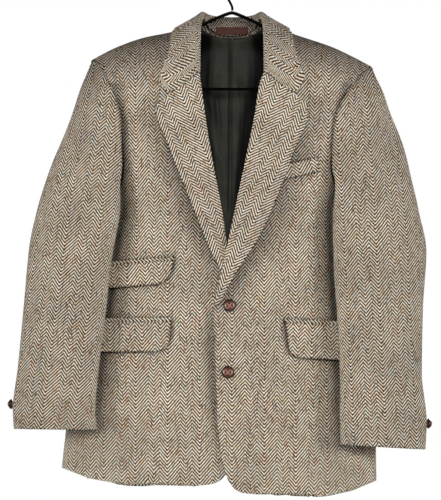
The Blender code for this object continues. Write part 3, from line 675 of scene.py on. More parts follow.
@dataclass
class Cloth:
    """A panel of cloth, as a grid of points on its outer face.

    Attributes:
        node: The CAD node that the panel stands for, and its own name.
        outer: The points, in rows.
        grain: A place on the uncut cloth for each point, in metres.
        thickness: The thickness of the wall.
        flipped: True if the grid's own normals look into the jacket.
        lined: True where the inside is lining.
        layers: How many times the cut is folded over itself along its narrower way.
        shade: The painted shade at each point, as the share of the colour that is left, 1 where none is
            painted.
    """

    node: str
    outer: Array
    grain: Array
    thickness: float
    flipped: bool = False
    lined: Array | None = None
    layers: int = 1
    shade: Array = field(init=False)

    def __post_init__(self) -> None:
        """Starts with cloth that is nowhere darker."""
        self.shade = np.ones(self.outer.shape[:2])

    def normals(self) -> Array:
        """The directions out of the cloth."""
        across = np.gradient(self.outer, axis=1)
        down = np.gradient(self.outer, axis=0)
        found = unit(np.cross(across, down))
        return -found if self.flipped else found

    def thicken_outwards(self, share: Array) -> None:
        """Takes the points as the inner face, and moves them out by a share of the thickness."""
        self.outer = self.outer + self.normals() * (self.thickness * share)[..., None]

    def crease(self, creases: Sequence[Crease]) -> None:
        """Moves the cloth out by each crease, and darkens it there with painted shade."""
        x, drop = self.outer[..., 0], drop_of(self.outer)
        away = self.normals()
        for fold in creases:
            reach = fold.reach(x, drop)
            self.outer = self.outer + away * (reach * fold.rise)[..., None]
            self.shade = self.shade * (1 - reach * fold.shade)

    def rim(self) -> tuple[Array, Array]:
        """The grid places of the outline, in order, and the place next to each towards the middle.

        Returns:
            Both, as rows and columns.
        """
        rows, columns = self.outer.shape[:2]
        last_row, last_column = rows - 1, columns - 1
        outline = (
            [(0, j) for j in range(last_column)]
            + [(i, last_column) for i in range(last_row)]
            + [(last_row, j) for j in range(last_column, 0, -1)]
            + [(i, 0) for i in range(last_row, 0, -1)]
        )
        places = np.array(outline)
        inside = np.clip(places, 1, [last_row - 1, last_column - 1])
        return places, inside

    def build(self, looks: Sequence[Material]) -> bpy.types.Object:
        """Makes the wall of cloth, with a rounded edge all round.

        Args:
            looks: The materials of the outside and, if it is lined, of the inside.

        Returns:
            The object.
        """
        rows, columns = self.outer.shape[:2]
        away = self.normals()
        inner = self.outer - away * self.thickness
        places, inside = self.rim()
        i, j = places.T
        towards = unit(self.outer[i, j] - self.outer[inside[:, 0], inside[:, 1]])
        middle = (self.outer[i, j] + inner[i, j]) / 2 + towards * self.thickness * 0.42
        count = rows * columns
        points = np.concatenate([self.outer.reshape(-1, 3), inner.reshape(-1, 3), middle])
        index = np.arange(count).reshape(rows, columns)
        quads = np.stack([index[:-1, :-1], index[:-1, 1:], index[1:, 1:], index[1:, :-1]], axis=-1)
        quads = quads.reshape(-1, 4)
        if self.flipped:
            quads = quads[:, ::-1]
        outline = index[i, j]
        after = np.roll(outline, -1)
        ring = 2 * count + np.arange(len(outline))
        ring_after = np.roll(ring, -1)
        rim = np.concatenate([
            np.stack([outline, ring, ring_after, after], axis=-1),
            np.stack([ring, outline + count, after + count, ring_after], axis=-1),
        ])
        if self.flipped:
            rim = rim[:, ::-1]
        faces = np.concatenate([quads, quads[:, ::-1] + count, rim])
        grain = np.concatenate([self.grain.reshape(-1, 2), self.grain.reshape(-1, 2), self.grain[i, j]])
        mesh = bpy.data.meshes.new(self.node)
        mesh.from_pydata(points.tolist(), [], faces.tolist())
        layer = mesh.uv_layers.new(name=GRAIN_UV)
        layer.data.foreach_set("uv", grain[faces.reshape(-1)].astype(np.float32).ravel())
        shade = mesh.attributes.new(SHADE, "FLOAT", "POINT")
        # Painted shade: the inside face is darker all over, and the rim is darker than the outer face beside
        # it.
        inside_shade, rim_shade = np.full(count, INSIDE_SHADE), self.shade[i, j] * RIM_SHADE
        values = np.concatenate([self.shade.reshape(-1), inside_shade, rim_shade])
        shade.data.foreach_set("value", values.astype(np.float32))
        for look in looks:
            mesh.materials.append(look)
        if self.lined is not None and len(looks) > 1:
            chosen = np.zeros(len(faces), np.int32)
            chosen[len(quads): 2 * len(quads)] = self.lined[:-1, :-1].reshape(-1)
            mesh.polygons.foreach_set("material_index", chosen)
        mesh.shade_smooth()
        return placed(f"{self.node}_cloth", mesh)

    def flat(self) -> tuple[tuple[float, float], float]:
        """The cut of the cloth: its width and length along the grain, and its area.

        Returns:
            The width and the length, and the area, in metres.
        """
        width, length = np.ptp(self.grain.reshape(-1, 2), axis=0)
        if self.layers > 1:
            narrow = width < length
            width, length = width * (self.layers if narrow else 1), length * (1 if narrow else self.layers)
        a = self.outer[1:, 1:] - self.outer[:-1, :-1]
        b = self.outer[1:, :-1] - self.outer[:-1, 1:]
        area = np.linalg.norm(np.cross(a, b), axis=-1).sum() / 2 * self.layers
        return (round(float(width), 4), round(float(length), 4)), round(float(area), 5)


def placed(name: str, data: bpy.types.ID) -> bpy.types.Object:
    """Adds an object to the scene, at the origin.

    Args:
        name: The object's name.
        data: Its mesh, curve, lamp or camera.

    Returns:
        The object.
    """
    made = bpy.data.objects.new(name, data)
    bpy.context.scene.collection.objects.link(made)
    return made


def dress(piece: bpy.types.Object, node: str) -> bpy.types.Object:
    """Attaches a finished piece to the root body and hides the CAD node that it stands for."""
    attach(piece, ROOT)
    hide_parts(node)
    return piece


def lay(
    cloth: Cloth, looks: Sequence[Material]
) -> None:
    """Builds a panel and logs the size of its cut.

    Args:
        cloth: The panel.
        looks: Its materials.
    """
    piece = dress(cloth.build(looks), cloth.node)
    flat, area = cloth.flat()
    area = min(area, flat[0] * flat[1])
    LOG.info("%s: cut %.3f by %.3f m, %.4f m2", cloth.node, *flat, area)


def travelled(lengths: Array) -> Array:
    """How far along its row each point is, from the lengths of the row's steps."""
    return np.concatenate([np.zeros(lengths.shape[:1] + (1,)), np.cumsum(lengths, axis=1)], axis=1)


def upright_grain(points: Array, sign: float) -> Array:
    """A place on the cloth for each point of a panel whose warp hangs straight down.

    Args:
        points: The points, in rows.
        sign: The sign of x on the panel's side.

    Returns:
        The places, in metres.
    """
    step = np.diff(points, axis=1)
    u = travelled(np.hypot(step[..., 0], step[..., 1]))
    u = sign * (u - u[:, :1]) + points[:, :1, 0]
    fall = np.diff(points, axis=0)
    v = -travelled(np.hypot(fall[..., 1], fall[..., 2]).T).T
    half = points.shape[0] // 2
    v = v - v[half] + points[half, :, 2]
    return np.stack([u, v], axis=-1)


def tilted_grain(points: Array, slope: float) -> Array:
    """A place on the cloth for each point of a flat patch whose warp leans by slope."""
    cosine, sine = math.cos(slope), math.sin(slope)
    x, z = points[..., 0], points[..., 2]
    return np.stack([x * cosine + z * sine, z * cosine - x * sine], axis=-1)


def wrapped_grain(points: Array, axis: Array, middle: int) -> Array:
    """A place on the cloth for each point of a tube whose warp runs along axis.

    Args:
        points: The points, in rows.
        axis: The warp's direction.
        middle: The column that each row is measured from.

    Returns:
        The places, in metres.
    """
    v = points @ axis
    step = np.diff(points, axis=1)
    around = np.sqrt(np.maximum((step**2).sum(-1) - (step @ axis) ** 2, 0.0))
    u = travelled(around)
    sideways = unit(np.cross(axis, [0.0, 1.0, 0.0]))
    beside = points @ sideways
    start = beside[:, middle: middle + 1] * np.sign(beside[-1, -1] - beside[-1, 0])
    return np.stack([u - u[:, middle: middle + 1] + start, v], axis=-1)


# --- Finishes -----------------------------------------------------------------------------------


class Graph:
    """A node tree that is written as one expression after another."""

    def __init__(self, tree: bpy.types.NodeTree) -> None:
        """Takes the tree to fill."""
        self.tree = tree

    def node(self, kind: str, **settings) -> Node:
        """Adds a node and sets its properties."""
        made = self.tree.nodes.new(kind)
        for name, value in settings.items():
            setattr(made, name, value)
        return made

    def feed(self, socket: Socket, value: Feed) -> None:
        """Links a socket to another, or sets it to a constant."""
        if isinstance(value, Socket):
            self.tree.links.new(value, socket)
        else:
            socket.default_value = value

    def first(self, kind: str, values: Sequence[Feed], **settings: str) -> Socket:
        """Adds a node and feeds its inputs.

        Args:
            kind: Its type.
            values: What to feed to its inputs, in order.
            settings: Its properties.

        Returns:
            Its first output.
        """
        made = self.node(kind, **settings)
        for socket, value in zip(made.inputs, values):
            self.feed(socket, value)
        return made.outputs[0]

    def math(self, operation: str, a: Feed, b: Feed = 0.0, c: Feed = 0.0) -> Socket:
        """One step of arithmetic, by what the Math node calls it."""
        return self.first("ShaderNodeMath", (a, b, c), operation=operation)

    def times(self, a: Feed, b: Feed) -> Socket:
        """The product of two values."""
        return self.math("MULTIPLY", a, b)

    def span(self, value: Feed, low: float, high: float, to_low: float = 0.0, to_high: float = 1.0) -> Socket:
        """A smooth step, from to_low at low to to_high at high."""
        read = (value, low, high, to_low, to_high)
        return self.first("ShaderNodeMapRange", read, interpolation_type="SMOOTHSTEP")

    def vector(self, x: Feed, y: Feed, z: Feed = 0.0) -> Socket:
        """A vector from its parts."""
        return self.first("ShaderNodeCombineXYZ", (x, y, z))

    def parts(self, vector: Socket) -> Sequence[Socket]:
        """The x, y and z of a vector."""
        made = self.node("ShaderNodeSeparateXYZ")
        self.feed(made.inputs[0], vector)
        return made.outputs

    def noise(self, place: Socket, scale: float, detail: float = 2.0, rough: float = 0.5) -> Socket:
        """A cloudy value about 0.5. Scale is how small the clouds are, and detail adds finer layers."""
        return self.first("ShaderNodeTexNoise", (place, 0.0, scale, detail, rough))

    def speckle(self, place: Socket) -> Socket:
        """A random value for each different place."""
        return self.first("ShaderNodeTexWhiteNoise", (place,), noise_dimensions="3D")

    def blend(self, share: Feed, a: Feed, b: Feed, mode: str = "MIX") -> Socket:
        """Two colours blended by a share."""
        made = self.node("ShaderNodeMix", data_type="RGBA", blend_type=mode)
        colours = [socket for socket in made.inputs if socket.type == "RGBA"]
        self.feed(made.inputs[0], share)
        self.feed(colours[0], a)
        self.feed(colours[1], b)
        return next(socket for socket in made.outputs if socket.type == "RGBA")

    def ramp(self, value: Feed, stops: Sequence[tuple[float, tuple]]) -> Socket:
        """A colour read from stops of place and colour.

        Args:
            value: What is read.
            stops: The stops, in order.

        Returns:
            The colour.
        """
        made = self.node("ShaderNodeValToRGB")
        elements = made.color_ramp.elements
        while len(elements) < len(stops):
            elements.new(0.5)
        for element, (place, colour) in zip(elements, stops):
            element.position = place
            element.color = colour
        self.feed(made.inputs[0], value)
        return made.outputs[0]

    def multiply(self, tint: Feed, value: Socket) -> Socket:
        """A colour made lighter or darker by a value."""
        return self.blend(1.0, tint, self.vector(value, value, value), "MULTIPLY")

    def relief(self, shader: Node, raised: Feed, strength: float, depth: float) -> None:
        """Gives a shader a relief.

        Args:
            shader: The shader.
            raised: How high the surface is at each place.
            strength: How strong the relief is.
            depth: How deep it is, in metres.
        """
        bump = self.node("ShaderNodeBump")
        settle(bump, Strength=strength, Distance=depth)
        self.feed(bump.inputs["Height"], raised)
        self.feed(shader.inputs["Normal"], bump.outputs[0])


def settle(shader: Node, **values: Feed) -> None:
    """Sets a node's own inputs, with underscores for the spaces of their names."""
    for name, value in values.items():
        shader.inputs[name.replace("_", " ")].default_value = value


def colour(red: float, green: float, blue: float) -> tuple[float, float, float, float]:
    """An opaque colour."""
    return (red, green, blue, 1.0)


def grey(value: float) -> tuple[float, float, float, float]:
    """A value as a colour stop."""
    return (value, value, value, 1.0)


class Effect:
    """A node group that a shared effect is built in, with its inputs and outputs."""

    def __init__(
        self, name: str, inputs: Sequence[tuple[str, str]], outputs: Sequence[tuple[str, str]]
    ) -> None:
        """Makes the group.

        Args:
            name: The group's name.
            inputs: The name and socket type of each input.
            outputs: The name and socket type of each output.
        """
        self.tree = bpy.data.node_groups.new(name, "ShaderNodeTree")
        for way, sockets in (("INPUT", inputs), ("OUTPUT", outputs)):
            for socket_name, kind in sockets:
                self.tree.interface.new_socket(socket_name, in_out=way, socket_type=kind)
        self.graph = Graph(self.tree)
        self.given = self.graph.node("NodeGroupInput").outputs
        self.result = self.graph.node("NodeGroupOutput").inputs

    def used_in(self, graph: Graph, **values) -> bpy.types.bpy_prop_collection:
        """Adds the group to a graph, with underscores for the spaces of its inputs' names.

        Args:
            graph: The graph to add it to.
            values: What to feed to its inputs.

        Returns:
            Its outputs.
        """
        made = graph.node("ShaderNodeGroup")
        made.node_tree = self.tree
        for name, value in values.items():
            graph.feed(made.inputs[name.replace("_", " ")], value)
        return made.outputs


class Herringbone(Effect):
    """A 2/2 twill in coloured wool, whose diagonals turn back at the edge of each band."""

    BANDS = (7, 9, 7, 8, 10)
    DIRECTIONS = (-1, -1, 1, -1, 1)
    LIFT = 40

    def __init__(self) -> None:
        """Builds the weave from thread numbers across and along the cloth."""
        super().__init__(
            "Herringbone Weave",
            [
                ("Cloth Place", "NodeSocketVector"),
                ("Warp Pitch", "NodeSocketFloat"),
                ("Weft Pitch", "NodeSocketFloat"),
            ],
            [("Colour", "NodeSocketColor"), ("Height", "NodeSocketFloat"), ("Nap", "NodeSocketFloat")],
        )
        g, given = self.graph, self.given
        across, along, _ = g.parts(given["Cloth Place"])
        wander_u = g.math("MULTIPLY_ADD", g.noise(given["Cloth Place"], 60.0), 0.0016, -0.0008)
        wander_v = g.math("MULTIPLY_ADD", g.noise(given["Cloth Place"], 80.0), 0.0016, -0.0008)
        u = g.math("DIVIDE", g.math("ADD", across, wander_u), given["Warp Pitch"])
        v = g.math("DIVIDE", g.math("ADD", along, wander_v), given["Weft Pitch"])
        warp, weft = g.math("FLOOR", u), g.math("FLOOR", v)
        in_warp, in_weft = g.math("FRACT", u), g.math("FRACT", v)
        repeat = sum(self.BANDS)
        share = g.math("DIVIDE", g.math("FLOORED_MODULO", warp, repeat), repeat)
        turned = g.math("ROUND", g.times(g.ramp(share, self.offsets()), self.LIFT))
        step = g.math("FLOORED_MODULO", g.math("ADD", weft, turned), 4.0)
        warp_up = g.math("LESS_THAN", step, 1.5)
        warp_round = g.math("SINE", g.times(in_warp, math.pi))
        weft_round = g.math("SINE", g.times(in_weft, math.pi))
        ply = g.math("SUBTRACT", warp_round, weft_round)
        height_now = g.math("MULTIPLY_ADD", warp_up, ply, weft_round)
        hair = g.noise(g.vector(u, v), 2.3, 4.0, 0.75)
        g.feed(self.result["Height"], g.math("MULTIPLY_ADD", hair, 0.9, height_now))

        tone = g.noise(g.vector(g.times(warp, 7.31), g.times(v, 0.11)), 1.0, 3.0, 0.6)
        light = g.ramp(tone, (
            (0.34, colour(0.54, 0.39, 0.24)),
            (0.43, colour(0.88, 0.72, 0.53)),
            (0.52, colour(1.0, 0.90, 0.76)),
            (0.62, colour(1.0, 0.98, 0.92)),
        ))
        drift = g.noise(g.vector(g.times(warp, 3.7), g.times(v, 0.045)), 1.0, 1.0, 0.5)
        tinted = g.ramp(drift, (
            (0.26, colour(0.62, 0.80, 0.84)),
            (0.36, colour(0.86, 0.92, 0.84)),
            (0.48, colour(1.0, 1.0, 1.0)),
            (0.60, colour(1.0, 0.97, 0.90)),
            (0.68, colour(1.0, 0.82, 0.62)),
            (0.78, colour(1.0, 0.74, 0.66)),
        ))
        light = g.blend(0.65, light, tinted, "MULTIPLY")
        along_weft = g.vector(g.times(weft, 5.9), g.times(u, 0.13))
        dark_tone = g.noise(along_weft, 1.0, 3.0, 0.6)
        dark = g.ramp(dark_tone, (
            (0.44, colour(0.020, 0.006, 0.0005)),
            (0.58, colour(0.038, 0.014, 0.002)),
            (0.72, colour(0.110, 0.050, 0.014)),
        ))
        fleck = g.speckle(g.vector(warp, g.math("FLOOR", g.times(v, 0.19)), 3.0))
        fleck_colour = g.ramp(fleck, (
            (0.0, colour(0.46, 0.15, 0.04)),
            (0.015, colour(0.20, 0.25, 0.16)),
            (0.030, colour(0.16, 0.23, 0.30)),
            (0.045, colour(0.58, 0.27, 0.22)),
        ))
        is_fleck = g.math("LESS_THAN", fleck, 0.055)
        light = g.blend(g.times(is_fleck, 0.8), light, fleck_colour)
        cloth = g.blend(warp_up, dark, light)
        haze = g.span(g.noise(g.vector(u, v), 0.9, 3.0, 0.7), 0.38, 0.78)
        cloth = g.blend(g.times(haze, 0.03), cloth, colour(0.34, 0.23, 0.12))
        shade = g.span(height_now, 0.0, 0.5, 0.80, 1.0)
        cloth = g.multiply(cloth, shade)
        cloud = g.span(g.noise(given["Cloth Place"], 14.0, 2.0), 0.3, 0.7, 0.90, 1.08)
        g.feed(self.result["Colour"], g.multiply(cloth, cloud))
        g.feed(self.result["Nap"], haze)

    def offsets(self) -> list[tuple[float, tuple]]:
        """Stops for how many picks the twill has climbed at each warp thread, as a share of LIFT.

        Returns:
            The stops, for ramp.
        """
        repeat = sum(self.BANDS)
        place, climbed = 0, self.LIFT // 2
        stops = [(0.0, grey(climbed / self.LIFT))]
        for width, direction in zip(self.BANDS, self.DIRECTIONS):
            place += width
            climbed += width * direction
            stops.append((min(place / repeat, 1.0), grey(climbed / self.LIFT)))
        return stops


def new_material(name: str) -> tuple[Material, Graph, Node]:
    """A material with a Principled shader, its graph and that shader."""
    made = bpy.data.materials.new(name)
    made.use_nodes = True
    shader = made.node_tree.nodes["Principled BSDF"]
    return made, Graph(made.node_tree), shader


@dataclass(frozen=True)
class Tweed:
    """Brown and cream herringbone tweed.

    Attributes:
        warp_pitch: The spacing of the threads that run down the cloth.
        weft_pitch: The spacing of the threads that run across it.
        relief: How deep the weave is.
        sheen: The strength of the nap's pale edge.
    """

    warp_pitch: float = 0.00134
    weft_pitch: float = 0.00156
    relief: float = 0.00030
    sheen: float = 0.008

    def material(self, weave: Herringbone) -> Material:
        """Builds the material around the shared weave.

        Args:
            weave: The weave.

        Returns:
            The material.
        """
        made, g, shader = new_material("Herringbone tweed")
        grain = g.node("ShaderNodeUVMap", uv_map=GRAIN_UV).outputs[0]
        woven = weave.used_in(g, Cloth_Place=grain, Warp_Pitch=self.warp_pitch, Weft_Pitch=self.weft_pitch)
        # The Shade attribute is painted shade, which darkens the weave's colour.
        shade = g.node("ShaderNodeAttribute", attribute_name=SHADE).outputs["Fac"]
        g.feed(shader.inputs["Base Color"], g.multiply(woven["Colour"], shade))
        g.feed(shader.inputs["Roughness"], g.math("MULTIPLY_ADD", woven["Nap"], 0.08, 0.86))
        settle(shader, Specular_IOR_Level=0.02, Sheen_Weight=self.sheen, Sheen_Roughness=0.45)
        settle(shader, Sheen_Tint=colour(0.95, 0.88, 0.72))
        g.relief(shader, woven["Height"], 0.45, self.relief)
        return made


@dataclass(frozen=True)
class Satin:
    """The lining's black satin, with the fine lines of its weave.

    Attributes:
        base: Its colour where it is in the light.
        gloss: Its roughness.
    """

    base: tuple = colour(0.048, 0.048, 0.037)
    gloss: float = 0.55

    def material(self) -> Material:
        """Builds the material.

        Returns:
            The material.
        """
        made, g, shader = new_material("Lining satin")
        place = g.node("ShaderNodeTexCoord").outputs["Object"]
        x, _, z = g.parts(place)
        threads = g.noise(g.vector(g.times(x, 1500.0), g.times(z, 60.0)), 1.0)
        clouds = g.noise(place, 22.0, 3.0)
        worn = g.span(clouds, 0.35, 0.7, 0.75, 1.35)
        tone = g.times(worn, g.span(threads, 0.2, 0.8, 0.85, 1.15))
        # The Shade attribute is painted shade, which darkens the satin's colour.
        shade = g.node("ShaderNodeAttribute", attribute_name=SHADE).outputs["Fac"]
        tone = g.times(tone, shade)
        g.feed(shader.inputs["Base Color"], g.multiply(self.base, tone))
        g.feed(shader.inputs["Roughness"], g.span(clouds, 0.3, 0.7, self.gloss - 0.06, self.gloss + 0.08))
        settle(shader, Anisotropic=0.4, Sheen_Weight=0.02, Specular_IOR_Level=0.16)
        soft = g.noise(g.vector(g.times(x, 120.0), g.times(z, 35.0)), 1.0, 3.0)
        g.relief(shader, g.math("MULTIPLY_ADD", threads, 0.15, soft), 0.25, 0.0004)
        return made


@dataclass(frozen=True)
class Ribbon:
    """The maroon woven ribbon of the patch inside the collar."""

    base: tuple = colour(0.125, 0.040, 0.026)

    def material(self) -> Material:
        """Builds the material.

        Returns:
            The material.
        """
        made, g, shader = new_material("Maroon ribbon")
        place = g.node("ShaderNodeTexCoord").outputs["Object"]
        x, _, z = g.parts(place)
        across = g.math("SINE", g.times(x, 9000.0))
        up = g.math("SINE", g.times(z, 11000.0))
        woven = g.times(across, up)
        mottle = g.noise(place, 240.0, 3.0)
        tone = g.times(g.span(woven, -1.0, 1.0, 0.8, 1.2), g.span(mottle, 0.3, 0.7, 0.75, 1.25))
        g.feed(shader.inputs["Base Color"], g.multiply(self.base, tone))
        g.feed(shader.inputs["Roughness"], g.span(mottle, 0.3, 0.7, 0.6, 0.75))
        settle(shader, Sheen_Weight=0.2)
        g.relief(shader, woven, 0.5, 0.0001)
        return made


@dataclass(frozen=True)
class Leather:
    """Brown leather strips, darker in the joins and rubbed pale along the cross, with a painted highlight at
    both sides.

    Attributes:
        base: The leather's colour.
        rubbed: Its colour where it is worn along the cross.
        worn: The colour of the painted highlight at both sides.
        deep: Its colour in the joins.
    """

    base: tuple = colour(0.046, 0.008, 0.003)
    rubbed: tuple = colour(0.80, 0.38, 0.23)
    worn: tuple = colour(0.66, 0.42, 0.40)
    deep: tuple = colour(0.010, 0.003, 0.002)

    def material(self) -> Material:
        """Builds the material. The grain map holds the place on the button's face, 1 at its edge.

        Returns:
            The material.
        """
        made, g, shader = new_material("Woven leather")
        x, y, _ = g.parts(g.node("ShaderNodeUVMap", uv_map=GRAIN_UV).outputs[0])
        sideways = g.math("SUBTRACT", g.math("ABSOLUTE", x), g.math("ABSOLUTE", y))
        cross = g.math("ABSOLUTE", sideways)
        radius = g.math("SQRT", g.math("ADD", g.times(x, x), g.times(y, y)))
        place = g.node("ShaderNodeTexCoord").outputs["Object"]
        grain = g.noise(place, 1900.0, 4.0, 0.6)
        mottled = g.blend(g.span(grain, 0.3, 0.7), self.base, colour(0.12, 0.026, 0.009))
        strap = g.times(g.span(cross, 0.03, 0.12, 1.0, 0.0), g.span(radius, 0.50, 0.72, 1.0, 0.0))
        near = g.blend(g.times(strap, g.span(grain, 0.25, 0.65, 0.6, 1.0)), mottled, self.rubbed)
        # A painted highlight: a pale arc near the rim at both sides of the dome.
        beside = g.span(sideways, 0.12, 0.42)
        ring = g.times(g.span(radius, 0.50, 0.62), g.span(radius, 0.66, 0.82, 1.0, 0.0))
        sided = g.times(beside, ring)
        near = g.blend(g.times(sided, g.span(grain, 0.2, 0.6, 0.5, 0.85)), near, self.worn)
        seam = g.span(cross, 0.0, 0.018, 0.3, 0.0)
        inked = g.blend(seam, near, self.deep)
        edge = g.span(radius, 0.74, 0.92)
        g.feed(shader.inputs["Base Color"], g.blend(g.times(edge, 0.9), inked, self.deep))
        g.feed(shader.inputs["Roughness"], g.span(grain, 0.3, 0.7, 0.32, 0.52))
        settle(shader, Coat_Weight=0.25, Coat_Roughness=0.25)
        g.relief(shader, grain, 0.6, 0.0003)
        return made


@dataclass(frozen=True)
class CoatedWire:
    """The hanger's black coat, a little uneven and scuffed."""

    base: tuple = colour(0.0015, 0.0015, 0.0018)
    scuffed: tuple = colour(0.006, 0.006, 0.007)

    def material(self) -> Material:
        """Builds the material.

        Returns:
            The material.
        """
        made, g, shader = new_material("Black coated wire")
        place = g.node("ShaderNodeTexCoord").outputs["Object"]
        scuffs = g.span(g.noise(place, 160.0, 5.0, 0.7), 0.56, 0.74)
        g.feed(shader.inputs["Base Color"], g.blend(scuffs, self.base, self.scuffed))
        g.feed(shader.inputs["Roughness"], g.span(g.noise(place, 420.0, 3.0), 0.3, 0.7, 0.46, 0.64))
        settle(shader, Specular_IOR_Level=0.04)
        g.relief(shader, g.noise(place, 700.0, 2.0), 0.3, 0.0003)
        return made


@dataclass
class Looks:
    """Every material, made once."""

    def __post_init__(self) -> None:
        """Builds the materials."""
        self.tweed = Tweed().material(Herringbone())
        self.satin = Satin().material()
        self.ribbon = Ribbon().material()
        self.leather = Leather().material()
        self.wire = CoatedWire().material()


# --- The pieces of the jacket -------------------------------------------------------------------

FRONT_CREASES = {
    Side.RIGHT: (
        Crease(((-0.215, 0.06), (-0.19, 0.12), (-0.182, 0.19)), 0.016, -0.0022),
        Crease(((-0.15, 0.06), (-0.12, 0.14), (-0.11, 0.25)), 0.022, 0.0016),
        Crease(((-0.12, 0.075), (-0.15, 0.15), (-0.17, 0.26)), 0.018, -0.0014),
        Crease(((-0.06, 0.33), (-0.075, 0.43), (-0.07, 0.56)), 0.016, -0.002),
        Crease(((-0.105, 0.3), (-0.112, 0.42), (-0.125, 0.7)), 0.026, 0.0018),
        Crease(((-0.045, 0.52), (-0.06, 0.64), (-0.055, 0.76)), 0.022, -0.0018),
        Crease(((-0.165, 0.56), (-0.17, 0.66), (-0.18, 0.78)), 0.02, -0.0022),
        Crease(((-0.225, 0.6), (-0.232, 0.69), (-0.238, 0.78)), 0.018, 0.0022),
    ),
    Side.LEFT: (
        Crease(((0.222, 0.08), (0.196, 0.14), (0.184, 0.21)), 0.015, -0.0024),
        Crease(((0.16, 0.07), (0.13, 0.15), (0.118, 0.24)), 0.022, 0.0016),
        Crease(((0.105, 0.08), (0.14, 0.17), (0.16, 0.27)), 0.02, -0.0016),
        Crease(((0.03, 0.42), (0.05, 0.52), (0.045, 0.64)), 0.02, 0.0014),
        Crease(((0.08, 0.3), (0.09, 0.42), (0.078, 0.56)), 0.022, -0.0014),
        Crease(((-0.004, 0.62), (-0.003, 0.64), (-0.001, 0.655)), 0.0028, -0.002),
        Crease(((0.06, 0.6), (0.07, 0.7), (0.08, 0.8)), 0.022, 0.0016),
        Crease(((0.15, 0.58), (0.158, 0.69), (0.15, 0.79)), 0.024, -0.002),
        Crease(((0.205, 0.64), (0.212, 0.71), (0.214, 0.785)), 0.018, 0.002),
    ),
}
BACK_CREASES = (
    Crease(((-0.19, 0.12), (-0.165, 0.2), (-0.15, 0.33)), 0.024, -0.0022),
    Crease(((0.19, 0.13), (0.16, 0.22), (0.15, 0.34)), 0.026, -0.0024),
    Crease(((-0.08, 0.07), (-0.105, 0.18), (-0.09, 0.33)), 0.03, 0.0016),
    Crease(((0.07, 0.08), (0.095, 0.2), (0.085, 0.32)), 0.028, 0.0018),
    Crease(((-0.13, 0.4), (-0.14, 0.56), (-0.16, 0.74)), 0.03, -0.0024),
    Crease(((0.12, 0.38), (0.15, 0.56), (0.15, 0.76)), 0.032, -0.0022),
    Crease(((0.06, 0.5), (0.05, 0.62), (0.065, 0.75)), 0.024, 0.0016),
    Crease(((-0.045, 0.48), (-0.06, 0.62), (-0.05, 0.75)), 0.024, 0.0014),
)
SLEEVE_CREASES = {
    Side.RIGHT: (
        Crease(((-0.252, 0.075), (-0.252, 0.15), (-0.24, 0.25)), 0.014, 0.0022),
        Crease(((-0.228, 0.09), (-0.218, 0.16), (-0.212, 0.26)), 0.011, -0.0022),
        Crease(((-0.268, 0.11), (-0.278, 0.22), (-0.272, 0.34)), 0.016, -0.002),
        Crease(((-0.3, 0.21), (-0.31, 0.33), (-0.3, 0.44)), 0.018, 0.0022),
        Crease(((-0.23, 0.33), (-0.27, 0.39), (-0.32, 0.42)), 0.017, -0.0026),
        Crease(((-0.24, 0.43), (-0.262, 0.52), (-0.268, 0.64)), 0.018, 0.0022),
        Crease(((-0.325, 0.4), (-0.32, 0.52), (-0.332, 0.64)), 0.018, -0.0022),
        Crease(((-0.29, 0.56), (-0.296, 0.64), (-0.3, 0.71)), 0.02, -0.0016),
    ),
    Side.LEFT: (
        Crease(((0.256, 0.09), (0.25, 0.16), (0.236, 0.26)), 0.013, 0.0026),
        Crease(((0.232, 0.1), (0.22, 0.17), (0.204, 0.27)), 0.01, -0.0026),
        Crease(((0.27, 0.13), (0.268, 0.24), (0.252, 0.35)), 0.015, -0.0022),
        Crease(((0.292, 0.2), (0.3, 0.32), (0.29, 0.43)), 0.018, 0.0022),
        Crease(((0.205, 0.34), (0.245, 0.4), (0.3, 0.43)), 0.017, -0.0026),
        Crease(((0.21, 0.44), (0.222, 0.54), (0.214, 0.66)), 0.018, 0.0024),
        Crease(((0.29, 0.43), (0.284, 0.56), (0.292, 0.7)), 0.02, -0.0022),
        Crease(((0.25, 0.56), (0.252, 0.64), (0.25, 0.73)), 0.02, -0.0014),
    ),
}
# The lining's folds; the pleat line and several folds carry painted shade.
LINING_CREASES = (
    Crease(((-0.005, 0.036), (-0.0045, 0.1), (-0.006, 0.33)), 0.0016, -0.0012, 0.9, 0.1),
    Crease(((-0.034, 0.05), (-0.038, 0.12), (-0.028, 0.19)), 0.005, 0.0036, 0.3),
    Crease(((-0.022, 0.09), (-0.026, 0.15), (-0.018, 0.24)), 0.004, -0.0026, 0.28),
    Crease(((0.034, 0.05), (0.036, 0.1), (0.026, 0.16)), 0.008, 0.0034),
    Crease(((0.014, 0.1), (0.02, 0.15), (0.012, 0.25)), 0.004, -0.0026, 0.28),
    Crease(((-0.04, 0.128), (-0.024, 0.144), (-0.01, 0.14)), 0.004, -0.0024, 0.26),
    Crease(((0.008, 0.104), (0.016, 0.122), (0.03, 0.112)), 0.004, -0.0026, 0.34),
    Crease(((-0.034, 0.2), (-0.016, 0.25), (-0.01, 0.32)), 0.007, 0.003),
    Crease(((0.03, 0.21), (0.016, 0.26), (0.01, 0.33)), 0.007, 0.0028),
    Crease(((-0.12, 0.2), (-0.11, 0.4), (-0.13, 0.62)), 0.022, 0.003),
    Crease(((0.12, 0.22), (0.105, 0.42), (0.12, 0.64)), 0.022, 0.003),
)


def shoulder_tip(columns: int, row: Array) -> Array:
    """How near each point of a panel is to its corner at the end of the shoulder."""
    across = np.linspace(0, 1, columns)[None, :]
    return smooth(0.84, 0.96, across) * (1 - smooth(0.03, 0.09, row))


def shoulder_shade(points: Array) -> Array:
    """The painted shade on the tops of the shoulders and of the sleeves, as a factor for the colour."""
    drop = drop_of(points)
    below = drop - 0.01 - 0.26 * np.abs(points[..., 0])
    return mix(SHOULDER_SHADE, 1.0, smooth(-0.015, 0.085, below))


